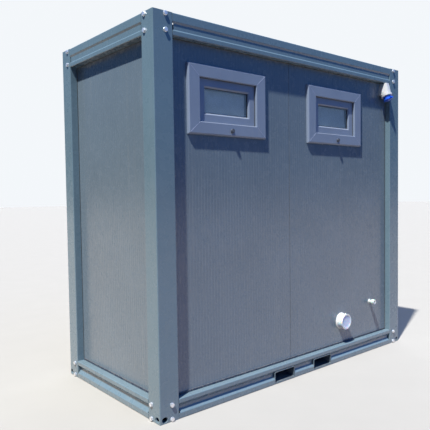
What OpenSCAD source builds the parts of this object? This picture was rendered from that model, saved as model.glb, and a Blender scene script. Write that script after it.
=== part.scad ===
// Sanitary container with two toilet cabins, in millimetres.
// The origin is on the ground under the middle of the frame. X runs along the frame,
// the service side with its windows and connections faces -Y, the doors face +Y.

/* [Frame] */
// Outer length of the frame
frame_l = 2680; // [2680:10:2740]
// Outer width of the frame
frame_w = 1250; // [1250:10:1300]
// Height from the ground to the top of the frame
frame_h = 2500; // [2490:5:2560]
// Width of a corner post on the long sides
post_l = 145; // [140:1:148]
// Width of a corner post on the ends
post_w = 128; // [124:1:132]
// Thickness of the bent frame sheet
sheet = 4; // [3.5:0.5:4.5]
// Outer radius of the bends in the frame sheet
bend_r = 6; // [5.5:0.5:6.5]
// Height of the floor rails
floor_h = 128; // [128:1:132]
// Height of the roof rails
roof_h = 137; // [135:1:140]

/* [Walls] */
// Thickness of the sandwich panels
panel = 60; // [60:1:62]
// Set-back of the long walls from the face of the frame
long_set = 50; // [49:1:52]
// Set-back of the end walls from the face of the frame
end_set = 57; // [55:1:58]
// Distance between the fine grooves in the panels
groove_pitch = 25; // [20:1:40]
// Place of the joint between the two service wall panels
service_joint_x = -101; // [-110:1:-90]
// Middle of the partition between the cabins
partition_x = -120; // [-125:1:-115]

/* [Windows] */
// Width of the window frames
window_w = 696; // [690:1:700]
// Height of the window frames
window_h = 450; // [445:1:455]
// Middle of the left window
window_left_x = -714; // [-730:1:-700]
// Middle of the right window
window_right_x = 447; // [440:1:460]
// Middle of the windows above the ground
window_z = 2010; // [1990:1:2020]

/* [Doors] */
// Width of a door leaf
leaf_w = 816; // [800:1:820]
// Height of a door leaf
leaf_h = 2030; // [1980:1:2035]
// Distance of the middle of each door from the middle of the frame
door_x = 680; // [670:1:690]
// Height of the door levers above the cabin floor
lever_h = 1050; // [1000:10:1080]

/* [Services] */
// Place of the drain and of the right toilet along the frame
drain_x = 528; // [520:1:540]
// Height of the drain above the ground
drain_z = 319; // [316:1:322]
// Radius of the drain socket's bore
drain_bore_r = 55.3; // [55:0.1:55.5]
// Place of the water inlet along the frame
water_x = 943; // [930:1:950]
// Height of the water inlet above the ground
water_z = 423; // [415:1:430]
// Place of the power inlet along the frame
inlet_x = 1133; // [1125:1:1136]
// Place of the left toilet along the frame
left_toilet_x = -680; // [-690:1:-670]

/* [Fork pockets] */
// Inner width of a fork pocket
pocket_w = 206; // [200:1:210]
// Inner height of a fork pocket
pocket_h = 72; // [68:1:72]
// Distance of each pocket's middle from the middle of the frame
pocket_x = 221; // [215:1:225]

/* [Hidden] */

$fn = 64;
eps = 0.01;
run_gap = 0.06;      // radial clearance of every pin and spindle in its bore
fit_gap = 0.5;       // between boards and the walls round them
joint_gap = 0.5;     // half the gap where two wall panels meet
bend_steps = 5;      // straight steps in each rounded bend

anthracite = "#3f4a55";
panel_grey = "#4a545f";
galvanised = "#b9bec2";
pvc_grey = "#6d7583";
pipe_white = "#f0f1f2";
ceramic = "#f7f7f5";
steel = "#c9ccce";
power_blue = "#1540d0";

hx = frame_l / 2;
hy = frame_w / 2;
wall_x = hx - end_set;
wall_y = hy - long_set;
in_x = wall_x - panel;
in_y = wall_y - panel;
roof_z = frame_h - roof_h;

rail_depth = 112;        // from the rail's face to its inner lip
floor_lip = 26;
joist_w = 50;
joist_t = 3;
roof_joist_h = 51;
underside_t = 2;
gutter_w = 70;
gutter_lip = 32;

bolt_in = 90;            // from the corner's edge to the bolts
bolt_zs = [16, 105, frame_h - 112, frame_h - 15];
bolt_r = 8;
bolt_hole_r = bolt_r + 0.5;
foot_hole_z = 24;

pocket_z = 14;           // underside of the pocket's opening
pocket_t = 4;

board_t = 20;
covering_t = 2.5;
floor_z = floor_h + board_t + covering_t;
ceiling_t = 12;
ceiling_z = roof_z - ceiling_t;
partition_t = 40;

frame_proud = 22;        // window frame in front of the wall
flange_w = 26;           // overlap of the window frame on the wall
sight_w = window_w - 190;
sight_h = window_h - 166;
sash_w = sight_w + 36;
sash_h = sight_h + 36;
sash_gap = 2;
sash_t = panel - 3;
glass_w = 388;
glass_h = 165;
glass_t = 24;
glass_y = 16;
glass_edge = 10;
sash_pin_y = panel + 6;
sash_pin_z = -sash_h / 2 + 10;
sash_pin_r = 4;
sash_lug_x = 200;        // tilt hinges from the middle of the window
handle_pin_r = 5;
handle_z = (glass_h / 2 + sash_h / 2) / 2;

leaf_t = 40;
leaf_y = wall_y - leaf_t + 1;        // inner face of the leaf
leaf_out_y = leaf_y + leaf_t;
leaf_z = floor_h + 28;
frame_rebate = 4;                    // gap between leaf and rebate
stop_w = 15;
frame_face = 32;                     // door frame from the rebate's edge to its hole in the wall
door_hole_w = leaf_w + 2 * frame_face;
door_hole_h = leaf_z + leaf_h + frame_face - floor_h;
threshold_z = floor_h + 24;
hinge_y = leaf_out_y + 12;
hinge_x = leaf_w / 2 + 2;
hinge_zs = [leaf_z + 224, leaf_z + 1024, leaf_z + leaf_h - 226];
knuckle_l = 45;
knuckle_r = 9;
hinge_pin_r = 5;
lever_x = -leaf_w / 2 + 60;
lever_z = floor_z + lever_h;
turn_z = lever_z - 78;
lever_out = 38;                      // lever's middle in front of the leaf
lever_in = 48;
lever_pin_r = 8;
turn_pin_r = 5;

soil_y = -in_y + 62;
soil_r = 55;
waste_r = 25;
pipe_cap = 8;
pipe_t = 3;
water_y = -in_y + 14;
water_r = 10;
fitting_r = 13;          // water fitting where it passes the wall

toilet_y = 130;          // rear of the pan from the wall
rim_z = 400;
seat_pin_y = 190;
seat_pin_z = rim_z + 18;
seat_pin_r = 5;
seat_t = 18;
lid_t = 12;
lid_open = 95;
flush_r = 22;
cistern_z = 620;
cistern_size = [380, 130, 390];
button_r = 20;
button_gap = 0.3;

basin_z = floor_z + 850;
basin_y = 120;
basin_depth = 240;
basin_w = 360;
basin_h = 130;
tap_in = 32;             // tap's axis from the end wall
waste_in = 130;
tap_col_h = 72;

inlet_y = -hy - 6;
inlet_z = frame_h - 248;
inlet_tilt = 20;
collar_r = 34.5;
collar_bore_r = 30;
collar_end = -40;
lid_pin_y = -collar_r - 6.5;
lid_pin_z = collar_end + 5;
lid_pin_r = 2;

// Vector helpers
function unit(v) = v / norm(v);
function turned(v, a) = [v[0] * cos(a) - v[1] * sin(a), v[0] * sin(a) + v[1] * cos(a)];
function angle_to(a, b) = atan2(cross(a, b), a * b);
function right_of(a, b) = let (d = unit(b - a)) [d[1], -d[0]];

// Points of a round bend at b, between the straight runs from a and to c
function bend_points(a, b, c, r) =
    let (u = unit(a - b), v = unit(c - b),
         half = acos(u * v) / 2,
         centre = b + unit(u + v) * r / sin(half),
         first = b + u * r / tan(half) - centre,
         sweep = angle_to(first, b + v * r / tan(half) - centre))
    [for (i = [0:bend_steps]) centre + turned(first, sweep * i / bend_steps)];

// A path of straight runs with every inner corner bent
function bent(path, r) =
    let (last = len(path) - 1)
    [path[0],
     for (i = [1:last - 1]) each bend_points(path[i - 1], path[i], path[i + 1], r),
     path[last]];

// Side of a path moved to its right by t
function moved_right(path, t) =
    let (last = len(path) - 1)
    [for (i = [0:last])
        let (before = right_of(path[max(i - 1, 0)], path[max(i, 1)]),
             after = right_of(path[min(i, last - 1)], path[min(i + 1, last)]))
        path[i] + (before + after) * t / (1 + before * after)];

// Closed outline of a bent sheet whose outer side follows the path
function sheet_outline(path, t, r) =
    let (outer = bent(path, r), inner = moved_right(outer, t), last = len(inner) - 1)
    concat(outer, [for (i = [last:-1:0]) inner[i]]);

// Rectangle with round corners, centred on the origin
function rounded(w, h, r) =
    [for (q = [0:3]) let (sx = q == 0 || q == 3 ? 1 : -1, sy = q < 2 ? 1 : -1)
        for (i = [0:bend_steps])
            [sx * (w / 2 - r), sy * (h / 2 - r)] + turned([r, 0], 90 * (q + i / bend_steps))];

// Placing helpers
module along_x(length) rotate([90, 0, 90]) linear_extrude(length, center = true) children();
module along_y(length) rotate([90, 0, 0]) linear_extrude(length, center = true) children();
module rod_x(r, length) rotate([0, 90, 0]) cylinder(r = r, h = length, center = true);
module rod_y(r, from, to) translate([0, from, 0]) rotate([-90, 0, 0]) cylinder(r = r, h = to - from);
module both_x() { children(); mirror([1, 0, 0]) children(); }
module side(s) mirror([s < 0 ? 1 : 0, 0, 0]) children();
module at_corner(sx, sy)
    translate([sx * hx, sy * hy, 0])
        mirror([sx > 0 ? 1 : 0, 0, 0]) mirror([0, sy > 0 ? 1 : 0, 0]) children();
module each_corner() for (sx = [-1, 1], sy = [-1, 1]) at_corner(sx, sy) children();

// Places of the bolts on the two faces of a corner, pointing into the post
module at_bolts() {
    for (z = bolt_zs) {
        translate([bolt_in, 0, z]) rotate([-90, 0, 0]) children();
        translate([0, bolt_in, z]) rotate([0, 90, 0]) children();
    }
}

// Long holes in the feet of the posts
module foot_hole(depth) {
    r = 17.5;
    shift = 3.5;
    for (dx = [-shift, shift]) translate([dx, 0, 0]) cylinder(r = r, h = depth);
    translate([-shift, -r, 0]) cube([2 * shift, 2 * r, depth]);
}
module foot_holes(depth) {
    from_corner = [36, 30];
    translate([from_corner[0], -1, foot_hole_z]) rotate([-90, 0, 0]) foot_hole(depth);
    translate([-1, from_corner[1], foot_hole_z]) rotate([90, 0, 90]) foot_hole(depth);
}

// Frame

post_path = [[post_l, long_set], [post_l, 0], [0, 0], [0, post_w], [end_set, post_w]];
floor_path = [[60, floor_lip], [60, 0], [0, 0], [0, 36], [20, 58], [20, 77], [0, 100],
              [0, floor_h], [rail_depth, floor_h], [rail_depth, floor_h - 24]];
roof_path = [[rail_depth, roof_z + floor_lip], [rail_depth, roof_z], [0, roof_z],
             [0, roof_z + 30], [6, roof_z + 36], [6, frame_h - 64], [0, frame_h - 51],
             [0, frame_h], [gutter_w, frame_h], [gutter_w, frame_h - gutter_lip]];

module corner_post(sx, sy) {
    color(anthracite) at_corner(sx, sy) difference() {
        linear_extrude(frame_h) polygon(sheet_outline(post_path, sheet, bend_r));
        at_bolts() translate([0, 0, -1]) cylinder(r = bolt_hole_r, h = sheet + 2);
        foot_holes(sheet + 2);
    }
}

// Blocks inside the feet and heads of the posts, which the bolts pass into
module corner_blocks() {
    wall = 8;
    start = sheet + 0.5;
    size = [post_l - 2 * start, post_w - 2 * start, 124];
    color(anthracite) each_corner() for (z = [0, frame_h - size[2]]) difference() {
        translate([start + size[0] / 2, start + size[1] / 2, z])
            linear_extrude(size[2]) polygon(rounded(size[0], size[1], 4));
        translate([start + wall, start + wall, z + wall])
            cube([size[0] - 2 * wall, size[1] - 2 * wall, size[2] - 2 * wall]);
        at_bolts() translate([0, 0, -1]) cylinder(r = bolt_hole_r, h = 40);
        foot_holes(start + wall + 4);
    }
}

// Hexagon bolts with washers
module frame_bolts() {
    washer_r = 15;
    washer_t = 2;
    head_r = 13.8;
    head_h = 9;
    shank_l = 26;
    color(steel) each_corner() at_bolts() {
        translate([0, 0, -washer_t]) cylinder(r = washer_r, h = washer_t);
        translate([0, 0, -washer_t - head_h]) cylinder(r = head_r, h = head_h + eps, $fn = 6);
        translate([0, 0, -eps]) cylinder(r = bolt_r, h = shank_l);
    }
}

// Notches in both ends of a rail's face, next to the posts
rail_slot = [10, 32, 40];
floor_slot_z = 36;
roof_slot_z = frame_h - 100;

module rail_slots(half, z) {
    for (s = [-1, 1]) translate([s * half - (s > 0 ? rail_slot[0] : 0), -hy - 1, z]) cube(rail_slot);
}

module floor_rail_long() {
    half = hx - post_l;
    color(anthracite) difference() {
        translate([0, -hy, 0]) along_x(2 * half) polygon(sheet_outline(floor_path, sheet, bend_r));
        rail_slots(half, floor_slot_z);
        for (s = [-1, 1])
            translate([s * pocket_x - pocket_w / 2 - pocket_t, -hy - 1, pocket_z - pocket_t])
                cube([pocket_w + 2 * pocket_t, 80, pocket_h + 2 * pocket_t]);
    }
}
module floor_rail_service() floor_rail_long();
module floor_rail_door() mirror([0, 1, 0]) floor_rail_long();

module roof_rail_long() {
    half = hx - post_l;
    color(anthracite) difference() {
        translate([0, -hy, 0]) along_x(2 * half) polygon(sheet_outline(roof_path, sheet, bend_r));
        rail_slots(half, roof_slot_z);
    }
}
module roof_rail_service() roof_rail_long();
module roof_rail_door() mirror([0, 1, 0]) roof_rail_long();

module end_rails(path, slot_z) {
    half = hy - post_w;
    color(anthracite) both_x() difference() {
        translate([-hx, 0, 0]) along_y(2 * half) polygon(sheet_outline(path, sheet, bend_r));
        for (s = [-1, 1]) translate([-hx - 1, s * half - (s > 0 ? rail_slot[0] : 0), slot_z])
            cube([rail_slot[1], rail_slot[0], rail_slot[2]]);
    }
}
module floor_end_rails() end_rails(floor_path, floor_slot_z);
module roof_end_rails() end_rails(roof_path, roof_slot_z);

// Channel with lips, standing on z = 0
function channel(w, h, lip = 12) = [[w, lip], [w, 0], [0, 0], [0, h], [w, h], [w, h - lip]];

module joist(x, z, h, length) {
    translate([x - joist_w / 2, 0, z])
        along_y(length) polygon(sheet_outline(channel(joist_w, h), joist_t, joist_t + 2));
}

module cross_members() {
    color(anthracite) {
        for (x = [-1050, -740, -420, 0, 420, 740, 1050])
            joist(x, floor_lip + underside_t, floor_h - floor_lip - underside_t, 2 * (hy - rail_depth));
        for (x = [-1100, -550, 0, 550, 1100])
            joist(x, roof_z + floor_lip, roof_joist_h, 2 * (hy - 95));
    }
}

// Tubes for a fork lift's forks, right through the floor frame
module fork_pockets() {
    z = pocket_z + pocket_h / 2;
    inner_r = 8;
    color(anthracite) for (s = [-1, 1]) translate([s * pocket_x, 0, z]) along_y(frame_w - 2) difference() {
        polygon(rounded(pocket_w + 2 * pocket_t, pocket_h + 2 * pocket_t, inner_r + pocket_t));
        polygon(rounded(pocket_w, pocket_h, inner_r));
    }
}

// Cross-shaped area that leaves room for the corner posts, set back from the frame's faces
module between_posts(reach, z, t) {
    clear = 7;
    translate([-hx + post_l + clear - 2, -hy + reach, z])
        cube([frame_l - 2 * (post_l + clear - 2), frame_w - 2 * reach, t]);
    translate([-hx + reach, -hy + post_w + clear, z])
        cube([frame_l - 2 * reach, frame_w - 2 * (post_w + clear), t]);
}

module underside_sheet() {
    pocket_out = [pocket_w + 2 * pocket_t, frame_w, 40];
    color(galvanised) difference() {
        between_posts(57, floor_lip, underside_t);
        for (s = [-1, 1]) translate([s * pocket_x - pocket_out[0] / 2, -hy, 0]) cube(pocket_out);
    }
}

// Board that fills the room between the walls
module room_board(z, t)
    translate([-in_x + fit_gap, -in_y + fit_gap, z]) cube([2 * (in_x - fit_gap), 2 * (in_y - fit_gap), t]);

module floor_board() color("burlywood") room_board(floor_h, board_t);
module floor_covering() color("slategray") room_board(floor_h + board_t, covering_t);
module ceiling_panel() color("whitesmoke") room_board(ceiling_z, ceiling_t);

// Ribbed roof sheet that lies on the roof joists, with its edges under the gutter lips
module roof_sheet() {
    t = 1.5;
    rib = 21;
    foot = 32;
    head = 20;
    reach = gutter_w - 30;
    z = roof_z + floor_lip + roof_joist_h + t;
    ribs = [for (x = [-1200:200:1200])
        each [[x - foot, z], [x - head, z + rib], [x + head, z + rib], [x + foot, z]]];
    path = concat([[-hx + reach, z]], ribs, [[hx - reach, z]]);
    color(galvanised) intersection() {
        along_y(frame_w - 2 * reach) polygon(sheet_outline(path, t, 3));
        between_posts(0, z - 10, 60);
    }
}

// Walls

// Sandwich panel from x = 0, with its grooved outer face on y = 0
module wall_panel(length) {
    chamfer = 2;
    groove_w = 5;
    groove_d = 1;
    count = floor((length - 2 * groove_w) / groove_pitch);
    first = (length - (count - 1) * groove_pitch) / 2;
    grooves = [for (i = [count - 1:-1:0]) let (x = first + i * groove_pitch)
        each [[x + groove_w / 2, 0], [x, groove_d], [x - groove_w / 2, 0]]];
    linear_extrude(roof_z - floor_h) polygon(concat(
        [[0, chamfer], [0, panel], [length, panel], [length, chamfer], [length - chamfer, 0]],
        grooves, [[chamfer, 0]]));
}

module window_hole(x)
    translate([x - window_w / 2 + flange_w, -wall_y - 1, window_z - window_h / 2 + flange_w])
        cube([window_w - 2 * flange_w, panel + 2, window_h - 2 * flange_w]);

module service_wall_panel_left()
    color(panel_grey) difference() {
        translate([-wall_x, -wall_y, floor_h]) wall_panel(service_joint_x - joint_gap + wall_x);
        window_hole(window_left_x);
    }

module service_wall_panel_right()
    color(panel_grey) difference() {
        translate([service_joint_x + joint_gap, -wall_y, floor_h])
            wall_panel(wall_x - service_joint_x - joint_gap);
        window_hole(window_right_x);
        translate([drain_x, 0, drain_z]) rod_y(soil_r + 1, -wall_y - 1, -in_y + 1);
        translate([water_x, 0, water_z]) rod_y(fitting_r + 1, -wall_y - 1, -in_y + 1);
    }

module end_wall_panels()
    color(panel_grey) both_x()
        translate([-wall_x, in_y, floor_h]) rotate([0, 0, -90]) wall_panel(2 * in_y);

module door_wall_panel(s)
    color(panel_grey) side(s) difference() {
        mirror([0, 1, 0]) translate([joint_gap, -wall_y, floor_h]) wall_panel(wall_x - joint_gap);
        translate([door_x - door_hole_w / 2, in_y - 1, floor_h - 1])
            cube([door_hole_w, panel + 2, door_hole_h + 1]);
    }

module partition_wall()
    color("whitesmoke") difference() {
        translate([partition_x - partition_t / 2, -in_y + fit_gap, floor_z])
            cube([partition_t, 2 * (in_y - fit_gap), ceiling_z - floor_z]);
        translate([partition_x, soil_y, drain_z]) rod_x(soil_r + 1, partition_t + 2);
        translate([partition_x, water_y, water_z]) rod_x(water_r + 1, partition_t + 2);
    }

// Windows, in a frame of their own: x across, y into the room from the wall's face, z up

module at_window(x) translate([x, -wall_y, window_z]) children();

// Plate from y = 0 out to y = -t, with its outer edges chamfered by c
function plate_outline(half, t, c) =
    [[-half, 0], [-half, -t + c], [-half + c, -t], [half - c, -t], [half, -t + c], [half, 0]];

module chamfered_plate(w, h, t, c) {
    intersection() {
        translate([0, 0, -h / 2]) linear_extrude(h) polygon(plate_outline(w / 2, t, c));
        along_x(w) polygon([for (p = plate_outline(h / 2, t, c)) [p[1], p[0]]]);
    }
}

// Hole from y = y0 to y = y1 that widens by c at y0
module flared_hole(w, h, y0, y1, c) {
    translate([-w / 2, y0 - 1, -h / 2]) cube([w, y1 - y0 + 1, h]);
    intersection() {
        translate([0, 0, -h / 2 - c]) linear_extrude(h + 2 * c)
            polygon([[-w / 2 - c - 1, y0 - 1], [w / 2 + c + 1, y0 - 1], [w / 2, y0 + c], [-w / 2, y0 + c]]);
        along_x(w + 2 * c + 2)
            polygon([[y0 - 1, -h / 2 - c - 1], [y0 + c, -h / 2], [y0 + c, h / 2], [y0 - 1, h / 2 + c + 1]]);
    }
}

// Fine grooves along the welded corners of the frame's face
module corner_welds() {
    reach = norm([(window_w - sight_w) / 2, (window_h - sight_h) / 2]);
    slope = atan2(window_h - sight_h, window_w - sight_w);
    for (sx = [-1, 1], sz = [-1, 1])
        translate([sx * window_w / 2, -frame_proud - 1, sz * window_h / 2])
            rotate([0, -slope * sx * sz + (sx > 0 ? 180 : 0), 0])
                translate([8, 0, -0.5]) cube([reach - 14, 1.8, 1]);
}

module window_frame(x) {
    body_w = window_w - 2 * flange_w - 2;
    body_h = window_h - 2 * flange_w - 2;
    lug_l = 12;
    color(pvc_grey) at_window(x) {
        difference() {
            union() {
                chamfered_plate(window_w, window_h, frame_proud, 9);
                translate([-body_w / 2, -eps, -body_h / 2]) cube([body_w, panel + 2, body_h]);
            }
            flared_hole(sight_w, sight_h, -frame_proud, panel + 4, 4);
            translate([-sash_w / 2 - sash_gap, -sash_gap, -sash_h / 2 - sash_gap])
                cube([sash_w + 2 * sash_gap, panel + 6, sash_h + 2 * sash_gap]);
            corner_welds();
        }
        // drain cap on the lower frame face
        translate([19, 0, -window_h / 2 + 37]) {
            rod_y(15, -frame_proud - 11, -frame_proud + eps);
            rod_y(11, -frame_proud - 15, -frame_proud - 10);
        }
        // lugs and pins that the sash tilts on
        for (sx = [-1, 1]) translate([sx * sash_lug_x, 0, 0]) {
            for (dx = [-1, 1])
                translate([dx * (18 + lug_l / 2) - lug_l / 2, panel + 1, -body_h / 2 + 4])
                    cube([lug_l, 13, sash_pin_z + 6 + body_h / 2 - 4]);
            translate([0, sash_pin_y, sash_pin_z]) rod_x(sash_pin_r, 46);
        }
    }
}

module window_sash(x) {
    top_fall = 8;
    knuckle = 32;
    color(pvc_grey) at_window(x) difference() {
        union() {
            along_x(sash_w)
                polygon([[0, -sash_h / 2], [sash_t, -sash_h / 2], [sash_t, sash_h / 2],
                         [0, sash_h / 2 - top_fall]]);
            translate([0, 0, handle_z]) rod_y(15, sash_t - eps, sash_t + 8);
            for (sx = [-1, 1]) translate([sx * sash_lug_x, sash_pin_y, sash_pin_z]) {
                rod_x(2 * sash_pin_r, knuckle);
                translate([-knuckle / 2, sash_t - sash_pin_y - eps, -2])
                    cube([knuckle, sash_pin_y - sash_t, 10]);
            }
        }
        flared_hole(glass_w, glass_h, 0, sash_t + 2, 9);
        pane_box(glass_edge + 2);
        translate([0, 0, handle_z]) rod_y(handle_pin_r + run_gap, sash_t - 16, sash_t + 10);
        for (sx = [-1, 1]) translate([sx * sash_lug_x, sash_pin_y, sash_pin_z])
            rod_x(sash_pin_r + run_gap, knuckle + 2);
    }
}

// Room of the pane, which reaches behind the sash by an edge
module pane_box(edge)
    translate([-glass_w / 2 - edge, glass_y, -glass_h / 2 - edge])
        cube([glass_w + 2 * edge, glass_t, glass_h + 2 * edge]);

module window_glass(x) color("lightsteelblue", 0.6) at_window(x) pane_box(glass_edge);

module window_handle(x)
    color(steel) at_window(x) translate([0, 0, handle_z]) {
        rod_y(handle_pin_r, sash_t - 14, sash_t + 9);
        rod_y(9, sash_t + 8.5, sash_t + 36);
        translate([-9, sash_t + 26, -9]) cube([115, 12, 18]);
    }

// Doors, built with the hinges towards +X and the free edge towards the middle of the frame

module at_door(s) side(s) translate([door_x, 0, 0]) children();

module door_frame(s) {
    rebate_w = leaf_w + 2 * frame_rebate;
    opening_w = rebate_w - 2 * stop_w;
    cover_w = 25;
    top = leaf_z + leaf_h + frame_rebate;
    color(anthracite) at_door(s) {
        difference() {
            union() {
                translate([-door_hole_w / 2, in_y, floor_h]) cube([door_hole_w, panel + eps, door_hole_h]);
                translate([-door_hole_w / 2 - cover_w, wall_y, floor_h])
                    cube([door_hole_w + 2 * cover_w, sheet, door_hole_h + cover_w]);
            }
            translate([-rebate_w / 2, leaf_y - 1, threshold_z]) cube([rebate_w, panel, top - threshold_z]);
            translate([-opening_w / 2, in_y - 1, threshold_z])
                cube([opening_w, panel + 10, top - stop_w - threshold_z]);
        }
        for (z = hinge_zs) translate([hinge_x, hinge_y, z]) {
            translate([0, 0, -knuckle_l]) cylinder(r = knuckle_r, h = knuckle_l);
            cylinder(r = hinge_pin_r, h = knuckle_l - 4);
            translate([2, wall_y + sheet - hinge_y - eps, -knuckle_l]) cube([34, 3, knuckle_l]);
            translate([2, wall_y + sheet - hinge_y - eps, -knuckle_l]) cube([5, 10, knuckle_l]);
        }
    }
}

module door_leaf(s) {
    color(panel_grey) at_door(s) difference() {
        union() {
            translate([-leaf_w / 2, leaf_y, leaf_z]) cube([leaf_w, leaf_t, leaf_h]);
            for (z = [lever_z, turn_z]) translate([lever_x, 0, z])
                rod_y(z == lever_z ? 26 : 22, leaf_y - 7, leaf_out_y + 7);
            for (z = hinge_zs) translate([hinge_x, hinge_y, z + 1]) {
                cylinder(r = knuckle_r, h = knuckle_l);
                translate([-40, leaf_out_y - hinge_y - eps, 0]) cube([40, 4, knuckle_l]);
                translate([-6, leaf_out_y - hinge_y - eps, 0]) cube([6, 10, knuckle_l]);
            }
        }
        for (z = hinge_zs) translate([hinge_x, hinge_y, z])
            cylinder(r = hinge_pin_r + run_gap, h = knuckle_l - 1);
        translate([lever_x, 0, lever_z]) rod_y(lever_pin_r + run_gap, leaf_y - 10, leaf_out_y + 10);
        translate([lever_x, 0, turn_z]) rod_y(turn_pin_r + run_gap, leaf_y - 10, leaf_out_y + 10);
    }
}

// Outer and inner lever on one spindle
module door_lever(s) {
    grip_l = 118;
    grip_r = 8.5;
    neck_r = 9.5;
    out = leaf_out_y + lever_out;
    inner = leaf_y - lever_in;
    color(steel) at_door(s) translate([lever_x, 0, lever_z]) {
        rod_y(lever_pin_r, leaf_y - 9, leaf_out_y + 9);
        rod_y(neck_r, leaf_out_y + 7.5, out + neck_r);
        rod_y(neck_r, inner - neck_r, leaf_y - 7.5);
        for (y = [out, inner]) translate([0, y, 0]) rotate([0, 90, 0]) {
            cylinder(r = grip_r, h = grip_l);
            translate([0, 0, grip_l]) cylinder(r1 = grip_r, r2 = grip_r - 3, h = 6);
        }
    }
}

// Thumb-turn inside and its slotted indicator outside, on one spindle
module door_turn(s)
    color(steel) at_door(s) translate([lever_x, 0, turn_z]) {
        rod_y(turn_pin_r, leaf_y - 9, leaf_out_y + 9);
        difference() {
            rod_y(14, leaf_out_y + 7.5, leaf_out_y + 12);
            translate([-11, leaf_out_y + 10, -1.5]) cube([22, 4, 3]);
        }
        rod_y(12, leaf_y - 12, leaf_y - 7.5);
        translate([-4, leaf_y - 32, -17]) cube([8, 21, 34]);
    }

// Services

module at_inlet() translate([inlet_x, inlet_y, inlet_z]) rotate([-inlet_tilt, 0, 0]) children();

module inlet_housing()
    color(pipe_white) difference() {
        union() {
            hull() {
                translate([inlet_x - 19, -wall_y - 65, roof_z - 10]) cube([38, 65, 7]);
                translate([inlet_x - 40, -wall_y - 2, inlet_z + 6]) cube([80, 2, 60]);
                at_inlet() translate([0, 0, 4]) cylinder(r = 43, h = 6, $fn = 48);
            }
            at_inlet() translate([0, 0, -10]) cylinder(r = 48, h = 15);
        }
        at_inlet() translate([0, 0, -11]) cylinder(r = collar_r + 0.3, h = 33);
    }

module inlet_collar()
    color(power_blue) at_inlet() {
        difference() {
            translate([0, 0, collar_end]) cylinder(r = collar_r, h = 22 - collar_end);
            translate([0, 0, collar_end - 1]) cylinder(r = collar_bore_r, h = 15 - collar_end);
        }
        // ears and pin that the lid hangs on
        for (dx = [-1, 1]) translate([dx * 13 - 3, lid_pin_y - 4, lid_pin_z - 4]) cube([6, 14, 12]);
        translate([0, lid_pin_y, lid_pin_z]) rod_x(lid_pin_r, 30);
        // contact sleeves
        for (a = [90, 210, 330]) rotate(a) translate([17, 0, collar_end + 12])
            cylinder(r = 3, h = 6 - collar_end);
    }

module inlet_lid()
    color(power_blue) at_inlet() difference() {
        union() {
            translate([0, 0, collar_end - 6]) cylinder(r = collar_r + 2, h = 5);
            translate([0, 0, collar_end - 9]) cylinder(r = collar_r - 6, h = 4);
            translate([-8, lid_pin_y - 2, collar_end - 6]) cube([16, 12, 5]);
            translate([-8, lid_pin_y - 4, collar_end - 6]) cube([16, 8, 11]);
            translate([0, lid_pin_y, lid_pin_z]) rod_x(4.5, 16);
            // catch on the far side
            translate([-7, collar_r, collar_end - 6]) cube([14, 6, 5]);
        }
        translate([0, lid_pin_y, lid_pin_z]) rod_x(lid_pin_r + run_gap, 20);
    }

// Drain socket through the service wall
module drain_socket()
    color(pipe_white) translate([drain_x, 0, drain_z]) difference() {
        union() {
            rod_y(60, -wall_y - 60, -wall_y);
            rod_y(63.5, -wall_y - 60, -wall_y - 44);
            rod_y(soil_r, -wall_y - eps, -in_y + 3);
            translate([-5, -wall_y - 52, 58]) cube([10, 8, 12]);
        }
        rod_y(drain_bore_r, -wall_y - 61, -wall_y - 2);
        rod_y(soil_r - pipe_t, -wall_y - 3, -in_y + 4);
    }

// Run of the inner waste pipes, as solid bars of radius less cut; the branches are a little
// thinner than the run that they leave, and each run ends in a cap beyond its last branch
module waste_runs(cut) {
    open = cut > 0 ? 1 : 0;
    main_r = soil_r - cut;
    branch_r = main_r - 2;
    thin_r = waste_r - cut;
    translate([0, soil_y, drain_z]) {
        translate([(drain_x + left_toilet_x) / 2, 0, 0])
            rod_x(main_r, drain_x - left_toilet_x + 2 * (main_r + pipe_cap));
        translate([left_toilet_x, 0, 0]) rod_y(branch_r, 0, toilet_y - 62 + open);
        translate([drain_x, 0, 0]) rod_y(branch_r, -59 - open, toilet_y - 62 + open);
        for (s = [-1, 1]) {
            near = s < 0 ? left_toilet_x : drain_x;
            far = s * (in_x - waste_in);
            translate([(near + far) / 2, 0, 0])
                rod_x(thin_r, abs(far - near) + 2 * (thin_r + pipe_cap));
            translate([far, 0, 0]) rod_y(thin_r - 1, 0, basin_y - soil_y + thin_r + pipe_cap);
            translate([far, basin_y - soil_y, 0])
                cylinder(r = 20 - cut, h = basin_z - basin_h - drain_z + open);
        }
    }
}

module soil_pipe()
    color("gainsboro") difference() {
        waste_runs(0);
        waste_runs(pipe_t);
    }

module water_pipes() {
    riser_x = in_x - tap_in;
    color(pipe_white) {
        // inlet fitting on the wall
        translate([water_x, 0, water_z]) difference() {
            union() {
                rod_y(fitting_r, -wall_y - 40, water_y);
                rod_y(20, -wall_y - 58, -wall_y - 34);
                rod_y(17, -wall_y - 34, -wall_y - 26);
            }
            rod_y(9.3, -wall_y - 59, -wall_y - 38);
            rod_y(7, -wall_y - 40, -wall_y - 20);
        }
        // main run along the service wall, then up to the cisterns and taps
        translate([0, water_y, water_z]) rod_x(water_r, 2 * riser_x);
        for (s = [-1, 1]) {
            translate([s * riser_x, water_y, water_z]) sphere(r = water_r);
            translate([s * riser_x, 0, water_z]) rod_y(water_r, water_y, basin_y);
            translate([s * riser_x, basin_y, water_z]) sphere(r = water_r);
            translate([s * riser_x, basin_y, water_z]) cylinder(r = water_r, h = basin_z - basin_h - water_z);
        }
        for (x = [left_toilet_x, drain_x]) translate([x + cistern_size[0] / 2 - 40, water_y, water_z])
            cylinder(r = water_r, h = floor_z + cistern_z - water_z);
    }
}

// Toilets, in a frame of their own: y from the service wall into the cabin, z from the floor

module at_toilet(x) translate([x, -in_y, floor_z]) children();
module each_toilet() for (x = [left_toilet_x, drain_x]) at_toilet(x) children();

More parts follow.
